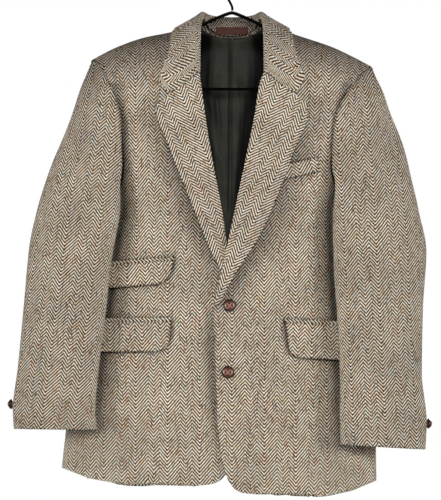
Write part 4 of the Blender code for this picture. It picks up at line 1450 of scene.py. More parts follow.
@dataclass
class Trunk:
    """The two fronts and the two backs."""

    looks: Looks
    columns: int = 150
    rows: int = 260

    def build(self) -> None:
        """Builds the four panels."""
        for side in Side:
            self.front(HangingForm(side))
            self.back(HangingForm(side))

    def front(self, form: HangingForm) -> None:
        """Builds one front.

        Args:
            form: The side's form.
        """
        across, row = grid(0.0, 1.0, self.columns, self.rows)
        row = row**ROW_BUNCHING
        across = across * (self.kept(row, 0.018) - FRONT_TIP_TRIM * (1 - smooth(0.0, 0.03, row)))
        inner = form.front_panel(across, row)
        inner[0, :, 1] = -0.0004
        cloth = Cloth(f"front_{form.side.word}", inner, inner, CLOTH, flipped=form.side is Side.LEFT)
        tip = shoulder_tip(self.columns, row)
        cloth.thicken_outwards(1 - TIP_THINNING * tip)
        cloth.crease(FRONT_CREASES[form.side])
        cloth.crease(self.pressed(form))
        # Painted shade along the armhole seam and on the tops of the shoulders.
        near_armhole = np.exp(-(((1 - np.linspace(0, 1, self.columns)) / 0.02) ** 2))[None, :]
        seam_shade = mix(0.12, 0.40, smooth(0.10, 0.25, row)) * (1 - smooth(0.40, 0.46, row))
        cloth.shade *= 1 - near_armhole * seam_shade
        cloth.shade *= shoulder_shade(cloth.outer)
        cloth.grain = upright_grain(cloth.outer, form.sign)
        from_edge = np.abs(cloth.grain[..., 0] - cloth.grain[:, :1, 0])
        from_hem = cloth.outer[..., 2] - cloth.outer[-1:, :, 2]
        cloth.lined = (from_edge > FACING_WIDTH) & (from_hem > HEM_TURN_UP) & (tip < 0.01)
        lay(cloth, [self.looks.tweed, self.looks.satin])

    def back(self, form: HangingForm) -> None:
        """Builds one back.

        Args:
            form: The side's form.
        """
        across, row = grid(0.003, 1.0, self.columns // 2, self.rows * 2 // 3)
        row = row**ROW_BUNCHING
        across = across * (self.kept(row, 0.030) - BACK_TIP_TRIM * (1 - smooth(0.02, 0.12, row)))
        inner = form.back_panel(across, row)
        shoulder = (form.sign * inner[0, :, 0]) >= BACK_NECK[-1].out
        inner[0, shoulder, 1] = 0.0004
        cloth = Cloth(f"back_{form.side.word}", inner, inner, CLOTH, flipped=form.side is Side.RIGHT)
        tip = shoulder_tip(across.shape[1], row)
        cloth.thicken_outwards(1 - TIP_THINNING * tip)
        cloth.crease(BACK_CREASES)
        cloth.shade *= shoulder_shade(cloth.outer)
        cloth.grain = upright_grain(cloth.outer, form.sign)
        from_hem = cloth.outer[..., 2] - cloth.outer[-1:, :, 2]
        cloth.lined = (from_hem > HEM_TURN_UP) & (tip < 0.01)
        lay(cloth, [self.looks.tweed, self.looks.satin])

    def kept(self, row: Array, underarm_room: float) -> Array:
        """The share of a panel's width that is cloth, less along the armhole and at the underarm."""
        return PANEL_KEPT - underarm_room * smooth(0.24, 0.36, row) * (1 - smooth(0.42, 0.50, row))

    def pressed(self, form: HangingForm) -> list[Crease]:
        """The troughs beside the lapel and the sleeve, and the lines round what is sewn on, each with painted
        shade along it.

        Args:
            form: The side's form.

        Returns:
            The creases.
        """
        lapel = [(form.sign * row.edge_out, row.edge_drop) for row in LAPEL[form.side][1:]]
        sleeve = [(form.sign * (ring.inner - 0.002), ring.inner_drop) for ring in SLEEVE[form.side]]
        armhole = [(form.sign * 0.196, 0.120), (form.sign * 0.186, 0.190)]
        # Each crease carries painted shade: soft shade in the troughs and narrow painted shadow lines at the
        # lapel's edge, the sleeve's inner edge, the patches' outlines and the left front's edge.
        found = [
            Crease(tuple(lapel), 0.030, -0.0065, 0.34, 0.35),
            Crease(tuple(lapel), 0.009, 0.0, 0.34, 0.3),
            Crease((*armhole, *sleeve), 0.018, -0.0065, 0.14, 0.4),
            Crease((*armhole, *sleeve), 0.0095, 0.0, 0.76, 0.2),
        ]
        for patch in PATCHES:
            if patch.side is form.side:
                line = tuple(patch.outline(form.sign))
                found.append(Crease(line, 0.0026, -0.0012, 0.72 * patch.pressed, 0.0))
                found.append(Crease(line, 0.009, 0.0, 0.14 * patch.pressed, 0.0))
        if form.side is Side.RIGHT:
            lap = [(edge.out - 0.006, edge.drop) for edge in FRONT_EDGE[Side.LEFT][8:13]]
            found.append(Crease(tuple(lap), 0.010, -0.0015, 0.45, 0.3))
        return found


@dataclass
class Lining:
    """The back's satin lining, with a pleat down its middle, where its columns bunch."""

    looks: Looks
    pleat: float = 0.0022
    columns: int = 141
    rows: int = 120
    bunching: float = 1.6

    def build(self) -> None:
        """Builds the lining."""
        across, down = grid(-1.0, 1.0, self.columns, self.rows)
        across = np.sign(across) * np.abs(across) ** self.bunching
        right, left = (self.half(HangingForm(side), across, down) for side in Side)
        points = np.where((across < 0)[..., None], right, left)
        cloth = Cloth("back_lining", points, points, LINING, flipped=True)
        fold = smooth(-0.0012, 0.0012, points[..., 0]) * (1 - smooth(0.004, 0.030, points[..., 0]))
        cloth.outer = cloth.outer + cloth.normals() * (fold * self.pleat)[..., None]
        cloth.crease(LINING_CREASES)
        # Painted light on a strip down the middle, and painted shade that turns the sides nearly black.
        x, drop = cloth.outer[..., 0], drop_of(cloth.outer)
        lit = mix(0.034, 0.016, smooth(0.08, 0.30, drop))
        middle = mix(0.000, -0.010, smooth(0.05, 0.20, drop))
        cloth.shade *= mix(1.15, 0.03, smooth(0.78, 1.18, np.abs(x - middle) / lit))
        cloth.grain = upright_grain(cloth.outer, 1.0)
        lay(cloth, [self.looks.satin])

    def half(self, form: HangingForm, across: Array, down: Array) -> Array:
        """Points of the lining, as far as this side's half goes."""
        turn = 180 - LINING_REACH * np.abs(across)
        top = Table(LINING_TOP).at(form.sign * form.trunk(turn, np.full_like(turn, 0.1))[..., 0])[0]
        drop = mix(top, LINING_FOOT, down)
        out = form.sign * form.trunk(turn, drop)[..., 0]
        away = form.normal(form.back_face, out, drop)
        return form.back_face(out, drop) - away * LINING_STANDS_IN


@dataclass
class Sleeves:
    """Both sleeves, each of an upper and an under piece whose top is tucked under the front."""

    looks: Looks
    rows: int = 150
    tucked: float = 0.012
    tuck_reach: float = 0.0035
    tuck_depth: float = 0.0016

    def build(self) -> None:
        """Builds the four pieces."""
        for side in Side:
            form = HangingForm(side)
            self.piece(form, "upper_sleeve", -17.0, 204.0, 84)
            self.piece(form, "under_sleeve", 206.0, 341.0, 52)

    def piece(self, form: HangingForm, name: str, first: float, last: float, columns: int) -> None:
        """Builds one piece between two angles around the sleeve.

        Args:
            form: The side's form.
            name: The piece's name without its side.
            first: Where it starts.
            last: Where it ends.
            columns: How fine it is.
        """
        around, along = grid(first, last, columns, self.rows)
        along = along * (1 + self.tucked) - self.tucked
        under = np.maximum(-along, 0.0) / self.tucked
        points = form.sleeve_point(around, np.maximum(along, 0.0))
        start = form.sleeve_point(around, 0 * along)
        onwards = unit(start - form.sleeve_point(around, 0 * along + 0.01))
        off_the_top = 1 - np.exp(-(((around - 180) / 42) ** 2))
        points = points + onwards * (under * off_the_top * self.tuck_reach)[..., None]
        cloth = Cloth(f"{name}_{form.side.word}", points, points, CLOTH, flipped=form.side is Side.LEFT)
        head = self.sleeve_head(form, around, np.maximum(along, 0.0))
        lifted = head - self.tuck_depth * under * off_the_top
        cloth.outer = cloth.outer + cloth.normals() * lifted[..., None]
        cloth.crease(SLEEVE_CREASES[form.side])
        # Painted shade along the armhole seam at the top of the sleeve, over the whole sleeve, and on its
        # top.
        cloth.shade *= 1 - mix(0.08, 0.45, off_the_top) * np.exp(-((np.maximum(along, 0.0) / 0.014) ** 2))
        cloth.shade *= SLEEVE_SHADE * shoulder_shade(cloth.outer)
        axis = unit(points[self.rows // 4].mean(axis=0) - points[-1].mean(axis=0))
        cloth.grain = wrapped_grain(cloth.outer, axis, columns // 2)
        cloth.grain[..., 0] *= form.sign
        from_cuff = (cloth.outer - cloth.outer[-1:]) @ axis
        cloth.lined = from_cuff > HEM_TURN_UP
        lay(cloth, [self.looks.tweed, self.looks.satin])

    def sleeve_head(self, form: HangingForm, around: Array, along: Array) -> Array:
        """The fullness eased into the top of the armhole, as soft puckers that fade down the sleeve."""
        top = np.exp(-(((around - 165) / 70) ** 2))
        angle = np.radians(around)
        waves = np.sin(angle * (9 if form.side is Side.RIGHT else 11)) + 0.5 * np.sin(angle * 17 + 1)
        roping = 0.0016 * np.exp(-(((along - 0.035) / 0.03) ** 2))
        return top * (roping + 0.0010 * waves * smooth(0.0, 0.03, along) * (1 - smooth(0.06, 0.26, along)))


@dataclass
class Collar:
    """The collar, whose stand folds over to its fall."""

    looks: Looks
    stand_steps: int = 12
    fold_steps: int = 8
    fall_steps: int = 30
    runs: int = 181

    def build(self) -> None:
        """Builds the collar."""
        runs = np.linspace(-1.0, 1.0, self.runs)
        sections = np.stack([self.section(run) for run in runs])
        cloth = Cloth("collar", sections, sections, DOUBLED_CLOTH, flipped=True)
        step = np.diff(cloth.outer, axis=0)
        fold = self.stand_steps + self.fold_steps // 2
        u = travelled(np.linalg.norm(step, axis=-1)[:, fold:].mean(axis=1)[None, :])[0]
        u -= u[len(u) // 2]
        down = np.linalg.norm(np.diff(cloth.outer, axis=1), axis=-1)
        v = travelled(down)
        cloth.grain = np.stack([np.broadcast_to(u[:, None], v.shape), v], axis=-1)
        # Painted shade, darkest at the top of the collar and gone by a drop of 0.11.
        cloth.shade *= mix(COLLAR_SHADE, 1.0, smooth(0.020, 0.110, drop_of(cloth.outer)))
        lay(cloth, [self.looks.tweed])

    def section(self, run: float) -> Array:
        """The section of the collar at a run of -1, its right end, to 1, its left end.

        Args:
            run: The place along the collar.

        Returns:
            Its points, from the foot of the stand to the outer edge.
        """
        side = Side.RIGHT if run < 0 else Side.LEFT
        form = HangingForm(side)
        row = CollarRow(abs(run), *[float(value) for value in Table(COLLAR).at(abs(run))])
        foot = point(form.sign * row.foot_out, row.foot_y, height(row.foot_drop))
        fold = point(form.sign * row.fold_out, row.fold_y, height(row.fold_drop))
        edge = point(form.sign * row.edge_out, row.edge_y, height(row.edge_drop))
        across = (edge - fold) * [1, 1, 0]
        across = unit(across) * FOLD_ROUND
        top_of_stand = fold - across * 0.6 - np.array([0, 0, FOLD_ROUND * 0.9])
        stand = [mix(foot, top_of_stand, t) for t in np.linspace(0, 1, self.stand_steps, endpoint=False)]
        over = fold + np.array([0, 0, FOLD_ROUND * 0.25])
        turn = [
            (1 - t) ** 2 * top_of_stand + 2 * t * (1 - t) * over + t**2 * (fold + across)
            for t in np.linspace(0, 1, self.fold_steps, endpoint=False)
        ]
        shares = np.linspace(0, 1, self.fall_steps)
        fall = np.stack([mix(fold + across, edge, t) for t in shares])
        bend = np.where(shares <= FALL_BEND, shares / FALL_BEND, (1 - shares) / (1 - FALL_BEND))
        fall[:, 2] -= row.dip * np.sin(bend * math.pi / 2)
        return np.concatenate([np.stack(stand), np.stack(turn), self.clear(form, fall)])

    def clear(self, form: HangingForm, points: Array) -> Array:
        """The fall's points, moved clear of the front, the shoulder or the back below them.

        Args:
            form: The side's form.
            points: The fall's points.

        Returns:
            The moved points.
        """
        drop = drop_of(points)
        out = form.sign * points[:, 0]
        in_front = points[:, 1:2] < 0
        face = np.where(in_front, form.front_face(out, drop), form.back_face(out, drop))
        forwards, backwards = (form.normal(wall, out, drop) for wall in (form.front_face, form.back_face))
        normal = np.where(in_front, forwards, backwards)
        stands_off = ((points - face) * normal).sum(-1)
        push = np.maximum(CLOTH + COLLAR_LIFT - stands_off, 0.0)
        push = np.where(drop < form.shoulder_drop(out) + 0.0005, 0.0, push)
        kernel = np.array([1, 2, 3, 2, 1]) / 9
        eased = np.convolve(np.pad(push, 2, mode="edge"), kernel, mode="valid")
        return points + normal * np.maximum(push, eased)[:, None]


@dataclass
class Lapel:
    """A lapel, which rolls over from the front's inner edge."""

    looks: Looks
    form: HangingForm
    columns: int = 34
    rows: int = 130
    roll_steps: int = 9

    def build(self) -> None:
        """Builds the lapel with its roll."""
        across, run = grid(0.0, 1.0, self.columns, self.rows)
        fold_out, fold_drop, edge_out, edge_drop = self.form.lapel.at(run)
        out = mix(fold_out, edge_out, across)
        drop = mix(fold_drop, edge_drop, across)
        belly = np.sin(np.pi * np.minimum(across * 0.7, 1)) * (1 - 0.5 * run)
        lift = DOUBLED_CLOTH + LAPEL_LIFT + LAPEL_SPRING[self.form.side] * belly
        flat_part = self.form.on_front(out, drop, lift)
        roll = self.roll(flat_part)
        points = np.concatenate([roll, flat_part], axis=1)
        side = self.form.side
        cloth = Cloth(f"lapel_{side.word}", points, points, DOUBLED_CLOTH, flipped=side is Side.LEFT)
        edge = flat_part[20, -1] - flat_part[-8, -1]
        cloth.grain = tilted_grain(points, -math.atan2(edge[0], edge[2]))
        cloth.grain[..., 0] *= self.form.sign
        lay(cloth, [self.looks.tweed])

    def roll(self, flat_part: Array) -> Array:
        """The half turn that joins the lapel's face to the front's own edge behind it.

        Args:
            flat_part: The points of the lapel's face.

        Returns:
            The points of the half turn.
        """
        fold = flat_part[:, :1]
        towards = unit(flat_part[:, :1] - flat_part[:, 3:4])
        towards[..., 1] = 0
        towards = unit(towards)
        radius = (DOUBLED_CLOTH + LAPEL_LIFT + CLOTH) / 2
        angles = np.radians(np.linspace(158, 0, self.roll_steps, endpoint=False))[None, :, None]
        back = np.array([0.0, 1.0, 0.0])
        return fold + towards * radius * np.sin(angles) + back * radius * (1 - np.cos(angles))


@dataclass(frozen=True)
class Patch:
    """A flap, a jet or a welt that is laid on a front.

    Attributes:
        node: Its CAD node.
        side: The front that it is on.
        out: How far out its upper corner nearer the opening is.
        drop: That corner's drop.
        width: Its width.
        height: Its height.
        slope: How much it falls across its width.
        lean: How much its ends lean.
        round_corner: The radius of its lower corner nearer the opening.
        lift: How far it stands off the front.
        crown: How full it is in the middle.
        pressed: How dark the painted shade along its outline on the front is, as a share.
    """

    node: str
    side: Side
    out: float
    drop: float
    width: float
    height: float
    slope: float
    lean: float
    round_corner: float
    lift: float
    crown: float
    pressed: float = 1.0

    def outline(self, sign: float) -> list[tuple[float, float]]:
        """Its sides and its foot, from its outer upper corner round to the other one, as x and drop.

        Args:
            sign: The sign of x on the patch's side.

        Returns:
            The line's points.
        """
        turned = self.round_corner * 0.35
        places = (
            (1.0, 0.0, 0.0, 0.0), (1.0, 1.0, 0.0, 0.0), (0.0, 1.0, self.round_corner, 0.0),
            (0.0, 1.0, turned, -turned), (0.0, 1.0, 0.0, -self.round_corner), (0.0, 0.0, 0.0, 0.0),
            (1.0, 0.0, 0.0, 0.0),
        )
        found = []
        for across, down, further, lower in places:
            out = self.out + self.width * across + self.lean * self.height * down + further
            drop = self.drop + self.slope * (self.width * across + further) + self.height * down + lower
            found.append((sign * out, drop))
        return found

    def build(self, looks: Looks) -> None:
        """Builds the patch, with its lower edge standing a little off the front.

        Args:
            looks: The materials.
        """
        form = HangingForm(self.side)
        fine = self.height > 0.01
        across, down = grid(0.0, 1.0, 60, 30 if fine else 9)
        out = self.out + self.width * across + self.lean * self.height * down
        corner = np.minimum(self.width * across, self.round_corner)
        radius = self.round_corner
        fall = self.height - (radius - np.sqrt(np.maximum(radius**2 - (radius - corner) ** 2, 0.0)))
        drop = self.drop + self.slope * self.width * across + fall * down
        wave = np.sin(across * 7.0 + self.width * 90) * down * 0.5 + np.sin(across * 3.1) * down
        full = np.sin(down * math.pi) ** 0.7 * 0.5 + down * 0.6 + 0.35 * wave
        lift = self.lift + DOUBLED_CLOTH + self.crown * full
        points = form.on_front(out, drop, lift)
        cloth = Cloth(self.node, points, points, DOUBLED_CLOTH, flipped=self.side is Side.LEFT)
        # Painted shade along the patch's sides and foot, and for a flap along its top too.
        from_edge = np.minimum(np.minimum(across, 1 - across) * self.width, (1 - down) * self.height)
        cloth.shade *= 1 - PATCH_EDGE_SHADE * np.exp(-((from_edge / 0.0018) ** 2))
        if fine:
            cloth.shade *= 1 - PATCH_EDGE_SHADE * np.exp(-((down * self.height / 0.002) ** 2))
        cloth.grain = tilted_grain(points, -form.sign * self.slope * 0.8)
        cloth.grain[..., 0] += 0.006 * form.sign
        if not fine:
            cloth.grain = cloth.grain[..., ::-1] * [1, -1]
            cloth.layers = 2
        lay(cloth, [looks.tweed])


PATCHES = (
    Patch("ticket_flap", Side.RIGHT, 0.1, 0.415, 0.108, 0.0385, 0.085, 0.03, 0.026, 0.0006, 0.0032),
    Patch("hip_flap_right", Side.RIGHT, 0.1045, 0.519, 0.128, 0.0505, 0.012, 0.0, 0.024, 0.0006, 0.0032),
    Patch("hip_flap_left", Side.LEFT, 0.091, 0.521, 0.128, 0.059, 0.045, 0.05, 0.022, 0.0006, 0.0036),
    Patch("ticket_jet", Side.RIGHT, 0.0985, 0.4095, 0.111, 0.005, 0.085, 0.0, 0.0, 0.0006, 0.0004, 0.6),
    Patch("hip_jet_right", Side.RIGHT, 0.103, 0.5135, 0.131, 0.005, 0.012, 0.0, 0.0, 0.0006, 0.0004, 0.6),
    Patch("hip_jet_left", Side.LEFT, 0.0895, 0.5155, 0.131, 0.005, 0.045, 0.0, 0.0, 0.0006, 0.0004, 0.6),
    Patch("breast_welt", Side.LEFT, 0.07, 0.258, 0.074, 0.023, -0.23, 0.06, 0.0, 0.0004, 0.0004, 0.45),
)


@dataclass(frozen=True)
class Button:
    """A domed button of woven leather strips.

    Attributes:
        node: Its CAD node.
        width: Its width.
        thick: Its thickness.
        turned: How far its cross is turned, in degrees.
        top_rings: How many rings of points its dome has.
        sides: How many points a ring has.
    """

    node: str
    width: float
    thick: float
    turned: float
    top_rings: int = 22
    sides: int = 72

    def build(self, looks: Looks) -> None:
        """Builds the button in place, facing as its CAD node does.

        Args:
            looks: The materials.
        """
        centre, facing = self.seat()
        rings = np.concatenate([np.linspace(0.0, 1.0, self.top_rings) ** 0.85, [1.0, 0.93, 0.70, 0.0]])
        turns = np.linspace(0, 2 * math.pi, self.sides + 1)[:-1]
        radius, angle = np.meshgrid(rings, turns, indexing="ij")
        x, y = radius * np.cos(angle), radius * np.sin(angle)
        cross = np.abs(np.abs(x) - np.abs(y))
        upper = np.arange(len(rings))[:, None] < self.top_rings
        pads = 0.085 * np.exp(-((cross / 0.09) ** 2)) * smooth(1.0, 0.55, radius)
        valley = 0.10 * np.exp(-(((cross - 0.20) / 0.10) ** 2)) * smooth(1.0, 0.5, radius)
        dome = 0.50 - 0.62 * radius**2.4
        z = np.where(upper, dome + pads - valley, 0.0)
        z[self.top_rings:] = np.array([-0.25, -0.42, -0.5, -0.5])[:, None]
        ripple = 1 + 0.018 * np.cos(4 * angle) * (radius > 0.6)
        local = np.stack([x * ripple * self.width / 2, y * ripple * self.width / 2, z * self.thick], axis=-1)
        turned_to_face = np.array(facing.to_track_quat("Z", "Y").to_matrix())
        turn = math.radians(self.turned)
        spun = np.stack([
            local[..., 0] * math.cos(turn) - local[..., 1] * math.sin(turn),
            local[..., 0] * math.sin(turn) + local[..., 1] * math.cos(turn),
            local[..., 2],
        ], axis=-1)
        points = spun.reshape(-1, 3) @ turned_to_face.T + np.array(centre)
        count = len(turns)
        faces = []
        for ring in range(len(rings) - 1):
            for i in range(count):
                a, b = ring * count + i, ring * count + (i + 1) % count
                faces.append((a, a + count, b + count, b))
        mesh = bpy.data.meshes.new(self.node)
        mesh.from_pydata(points.tolist(), [], faces)
        layer = mesh.uv_layers.new(name=GRAIN_UV)
        flat = np.stack([x, y], axis=-1).reshape(-1, 2)
        layer.data.foreach_set("uv", flat[np.array(faces).reshape(-1)].astype(np.float32).ravel())
        mesh.materials.append(looks.leather)
        mesh.shade_smooth()
        made = placed(f"{self.node}_leather", mesh)
        weld(made)
        dress(made, self.node)

    def seat(self) -> tuple[Vector, Vector]:
        """The middle of the CAD button and the way that it faces, which is along its thinnest side."""
        places = np.array([vertex.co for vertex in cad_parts[self.node].data.vertices])
        centre = (places.min(axis=0) + places.max(axis=0)) / 2
        ways = np.linalg.svd(places - places.mean(axis=0), full_matrices=False)[2]
        facing = Vector(ways[-1])
        jacket = Vector((0.0, 0.05, centre[2]))
        return Vector(centre), facing if facing.dot(Vector(centre) - jacket) > 0 else -facing


def weld(made: bpy.types.Object) -> None:
    """Joins the points that lie on one another, and turns the faces outwards.

    Args:
        made: The object.
    """
    edited = bmesh.new()
    edited.from_mesh(made.data)
    bmesh.ops.remove_doubles(edited, verts=edited.verts, dist=0.00001)
    bmesh.ops.recalc_face_normals(edited, faces=edited.faces)
    edited.to_mesh(made.data)
    edited.free()
    made.data.shade_smooth()


BUTTONS = (
    Button("front_button_upper", 0.0215, 0.0085, 6),
    Button("front_button_lower", 0.0215, 0.0085, -4),
    Button("cuff_button_right", 0.0165, 0.0080, 0),
    Button("cuff_button_left", 0.0165, 0.0080, 0),
)


class PathTube:
    """A node group that sweeps a round tube along a curve."""

    RADIUS = "Radius"
    SMOOTHING = "Resampled Length"

    def __init__(self, name: str, material: Material, sides: int = 20) -> None:
        """Builds the group.

        Args:
            name: The group's name.
            material: The tube's material.
            sides: How many sides its section has.
        """
        tree = bpy.data.node_groups.new(name, "GeometryNodeTree")
        face = tree.interface
        face.new_socket("Geometry", in_out="INPUT", socket_type="NodeSocketGeometry")
        self.sockets = {
            word: face.new_socket(word, in_out="INPUT", socket_type="NodeSocketFloat").identifier
            for word in (self.RADIUS, self.SMOOTHING)
        }
        face.new_socket("Geometry", in_out="OUTPUT", socket_type="NodeSocketGeometry")
        g = Graph(tree)
        given, result = g.node("NodeGroupInput"), g.node("NodeGroupOutput")
        resampled = g.node("GeometryNodeResampleCurve", mode="LENGTH")
        g.feed(resampled.inputs["Curve"], given.outputs["Geometry"])
        g.feed(resampled.inputs["Length"], given.outputs[self.SMOOTHING])
        section = g.node("GeometryNodeCurvePrimitiveCircle")
        section.inputs["Resolution"].default_value = sides
        g.feed(section.inputs["Radius"], given.outputs[self.RADIUS])
        swept = g.node("GeometryNodeCurveToMesh")
        g.feed(swept.inputs["Curve"], resampled.outputs[0])
        g.feed(swept.inputs["Profile Curve"], section.outputs["Curve"])
        swept.inputs["Fill Caps"].default_value = True
        realised = g.node("GeometryNodeRealizeInstances")
        g.feed(realised.inputs[0], swept.outputs[0])
        painted = g.node("GeometryNodeSetMaterial")
        painted.inputs["Material"].default_value = material
        g.feed(painted.inputs["Geometry"], realised.outputs[0])
        g.feed(result.inputs[0], painted.outputs[0])
        self.tree = tree

    def sweep(self, name: str, path: Sequence[Vector], radius: float) -> bpy.types.Object:
        """Makes a tube along a path.

        Args:
            name: The object's name.
            path: The points that the tube's middle goes through.
            radius: The tube's radius.

        Returns:
            The object, with a plain mesh.
        """
        curve = bpy.data.curves.new(name, "CURVE")
        curve.dimensions = "3D"
        spline = curve.splines.new("BEZIER")
        spline.bezier_points.add(len(path) - 1)
        for made, place in zip(spline.bezier_points, path):
            made.co = place
            made.handle_left_type = made.handle_right_type = "AUTO"
        guide = placed(f"{name}_path", curve)
        modifier = guide.modifiers.new("Tube", "NODES")
        modifier.node_group = self.tree
        modifier[self.sockets[self.RADIUS]] = radius
        modifier[self.sockets[self.SMOOTHING]] = radius * 0.8
        graph = bpy.context.evaluated_depsgraph_get()
        mesh = bpy.data.meshes.new_from_object(guide.evaluated_get(graph), depsgraph=graph)
        bpy.data.objects.remove(guide)
        mesh.shade_smooth()
        return placed(name, mesh)


@dataclass
class Hanger:
    """The black coated wire hanger: arms, bar and hook."""

    looks: Looks
    forms: dict[Side, HangingForm] = field(default_factory=lambda: {side: HangingForm(side) for side in Side})

    def build(self) -> None:
        """Builds the three lengths of wire."""
        tube = PathTube("Wire Along Path", self.looks.wire)
        outs = (0.006, 0.018, 0.036, 0.054, 0.066, 0.080, 0.095, 0.115, 0.140, 0.165, 0.188, ARM_REACH)
        right = [self.arm(Side.RIGHT, out) for out in reversed(outs)]
        left = [self.arm(Side.LEFT, out) for out in outs]
        apex = Vector((0, 0, height(APEX_DROP) - 0.0004))
        arms = tube.sweep("hanger_arms_wire", [*right, apex, *left], WIRE + WIRE_COAT)
        dress(arms, "hanger_arms")
        dress(tube.sweep("hanger_bar_wire", self.bar(), WIRE), "hanger_bar")
        dress(tube.sweep("hanger_hook_wire", self.hook(), HOOK_WIRE), "hanger_hook")

    def arm(self, side: Side, out: float) -> Vector:
        """A point on the middle line of an arm.

        Args:
            side: The arm's side.
            out: How far out the point is.

        Returns:
            The point.
        """
        form = self.forms[side]
        if out < ARM_LEAVES_NECK:
            leave = float(form.shoulder_drop(ARM_LEAVES_NECK)) + ARM_BELOW_SHOULDER
            drop = mix(APEX_DROP, leave, (out / ARM_LEAVES_NECK) ** 1.15)
        else:
            drop = float(form.shoulder_drop(out)) + ARM_BELOW_SHOULDER
        return Vector((side.value * out, 0, height(drop)))

    def bar(self) -> list[Vector]:
        """The bar, from the end of one arm to the end of the other.

        Returns:
            The points of its middle line.
        """
        halves = {}
        for side in Side:
            end = self.arm(side, ARM_REACH)
            start = end + Vector((side.value * 0.0065, 0, -0.0085))
            bends = ((0.2165, 0.020), (0.2195, 0.030), (0.2160, 0.040))
            bend = [Vector((side.value * out, 0, end.z - below)) for out, below in bends]
            foot = Vector((side.value * 0.196, 0, height(BAR_DROP - 0.004)))
            run = [Vector((side.value * out, 0, height(BAR_DROP))) for out in (0.182, 0.12, 0.06)]
            halves[side] = [start, *bend, foot, *run]
        return halves[Side.RIGHT] + halves[Side.LEFT][::-1]

    def hook(self) -> list[Vector]:
        """The hook, from the top of the arms up its neck and over its bend.

        Returns:
            The points of its middle line.
        """
        neck = (
            (0.0008, -0.0775), (0.0004, -0.0720), (-0.0030, -0.0640), (-0.0100, -0.0520), (-0.0175, -0.0390),
        )
        centre = Vector((0, 0, HOOK_WIRE - HOOK_BEND))
        bend = [
            centre + Vector((math.cos(angle), 0, math.sin(angle))) * HOOK_BEND
            for angle in np.radians(np.linspace(196, -32, 15))
        ]
        return [Vector((x, 0, z)) for x, z in neck] + bend


@dataclass
class RibbonPatch:
    """The bare ribbon patch that is sewn inside the collar's stand."""

    looks: Looks
    width: float = 0.055
    thick: float = 0.0007

    def build(self) -> None:
        """Builds the patch where its CAD node is, with the stand's bend."""
        low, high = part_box("label_patch")
        across, down = grid(-1.0, 1.0, 61, 13)
        x = across * self.width / 2
        foot = Table(COLLAR).at(0.10 * np.abs(x) / 0.019)[1]
        bend = foot - COLLAR[0].foot_y
        z = mix(high.z, low.z, down)
        lean = mix(0.0, -0.0012, down)
        y = high.y - self.thick + bend + lean
        puckers = 0.00025 * np.sin(across * 22) * np.abs(down * 2 - 1) ** 2
        points = point(x, y - puckers, z)
        cloth = Cloth("label_patch", points, np.stack([x, z], axis=-1), self.thick)
        lay(cloth, [self.looks.ribbon])


# --- The studio ---------------------------------------------------------------------------------


@dataclass(frozen=True)
class Lamp:
    """A soft box.

    Attributes:
        name: Its name.
        place: Where it stands.
        size: The side of its square.
        power: Its power in watts.
    """

    name: str
    place: tuple[float, float, float]
    size: float
    power: float

    def build(self, aim: Vector) -> None:
        """Places the soft box, facing aim and unseen itself.

        Args:
            aim: What it faces.
        """
        data = bpy.data.lights.new(self.name, "AREA")
        data.size = self.size
        data.energy = self.power
        made = placed(self.name, data)
        made.location = self.place
        made.rotation_euler = (aim - Vector(self.place)).to_track_quat("-Z", "Y").to_euler()
        made.visible_camera = False


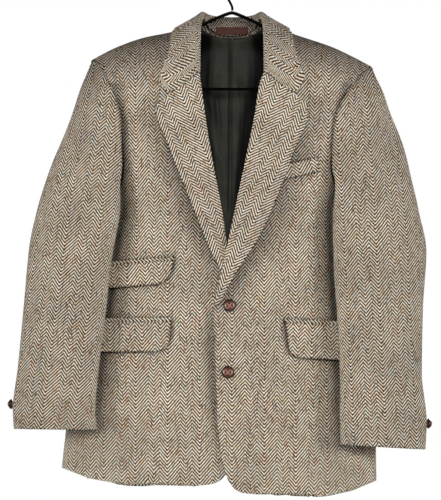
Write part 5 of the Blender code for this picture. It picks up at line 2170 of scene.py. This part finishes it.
@dataclass
class Studio:
    """The pale floor, the soft light and the camera."""

    lamps: tuple[Lamp, ...] = (
        Lamp("Right box", (-5.1, -2.65, -0.25), 1.3, 160.0),
        Lamp("Left box", (5.2, -2.65, -0.30), 1.3, 152.0),
        Lamp("Front box", (0.2, -3.6, 0.4), 0.9, 58.0),
        Lamp("Back box", (1.4, 3.2, 0.3), 1.6, 110.0),
    )
    lens: float = 500.0
    sensor: float = 36.0
    view_height: float = 0.85
    aim: Vector = field(default_factory=lambda: Vector((-0.0195, -0.030, -0.4855)))
    floor_depth: float = 2.4
    floor_radius: float = 1.6

    def build(self) -> None:
        """Builds the studio."""
        for lamp in self.lamps:
            lamp.build(self.aim)
        self.floor()
        self.sky()
        self.camera()
        bpy.context.scene.view_settings.view_transform = "Standard"

    def floor(self) -> None:
        """A pale round floor."""
        turns = np.linspace(0, 2 * math.pi, 97)[:-1]
        wide, low = self.floor_radius, -self.floor_depth
        points = [(math.cos(t) * wide, math.sin(t) * wide, low) for t in turns]
        mesh = bpy.data.meshes.new("floor")
        mesh.from_pydata(points, [], [tuple(range(len(points)))])
        made, g, shader = new_material("Pale floor")
        place = g.node("ShaderNodeTexCoord").outputs["Object"]
        cloud = g.span(g.noise(place, 3.0), 0.3, 0.7)
        paint = g.blend(cloud, colour(0.80, 0.80, 0.79), colour(0.84, 0.84, 0.83))
        g.feed(shader.inputs["Base Color"], paint)
        settle(shader, Roughness=0.8)
        mesh.materials.append(made)
        placed("floor", mesh)

    def sky(self) -> None:
        """Soft light from all round, weaker from above, behind a plain white ground."""
        world = bpy.data.worlds.new("Studio")
        world.use_nodes = True
        bpy.context.scene.world = world
        g = Graph(world.node_tree)
        lit = world.node_tree.nodes["Background"]
        parts = g.node("ShaderNodeSeparateXYZ")
        g.feed(parts.inputs[0], g.node("ShaderNodeTexCoord").outputs["Generated"])
        level = g.ramp(g.math("MULTIPLY_ADD", parts.outputs[2], 0.5, 0.5), (
            (0.0, grey(0.04)), (0.45, grey(0.06)), (0.62, grey(0.04)), (1.0, grey(0.02)),
        ))
        g.feed(lit.inputs["Color"], level)
        white = g.node("ShaderNodeBackground")
        white.inputs["Color"].default_value = grey(1.0)
        chosen = g.node("ShaderNodeMixShader")
        g.feed(chosen.inputs[0], g.node("ShaderNodeLightPath").outputs["Is Camera Ray"])
        g.feed(chosen.inputs[1], lit.outputs[0])
        g.feed(chosen.inputs[2], white.outputs[0])
        g.feed(world.node_tree.nodes["World Output"].inputs["Surface"], chosen.outputs[0])

    def camera(self) -> None:
        """A long lens straight in front."""
        data = bpy.data.cameras.new("Front")
        data.lens = self.lens
        data.sensor_width = self.sensor
        made = placed("Front", data)
        distance = self.view_height / 2 / math.tan(math.atan(self.sensor / 2 / self.lens))
        made.location = self.aim - Vector((0, distance, 0))
        made.rotation_euler = (math.pi / 2, 0, 0)
        bpy.context.scene.camera = made


def main() -> None:
    """Builds every part in order."""
    logging.basicConfig(level=logging.INFO, format="%(message)s")
    looks = Looks()
    Trunk(looks).build()
    Lining(looks).build()
    Sleeves(looks).build()
    Collar(looks).build()
    RibbonPatch(looks).build()
    for side in Side:
        Lapel(looks, HangingForm(side)).build()
    for patch in PATCHES:
        patch.build(looks)
    for button in BUTTONS:
        button.build(looks)
    Hanger(looks).build()
    Studio().build()


if __name__ == "__main__":
    main()
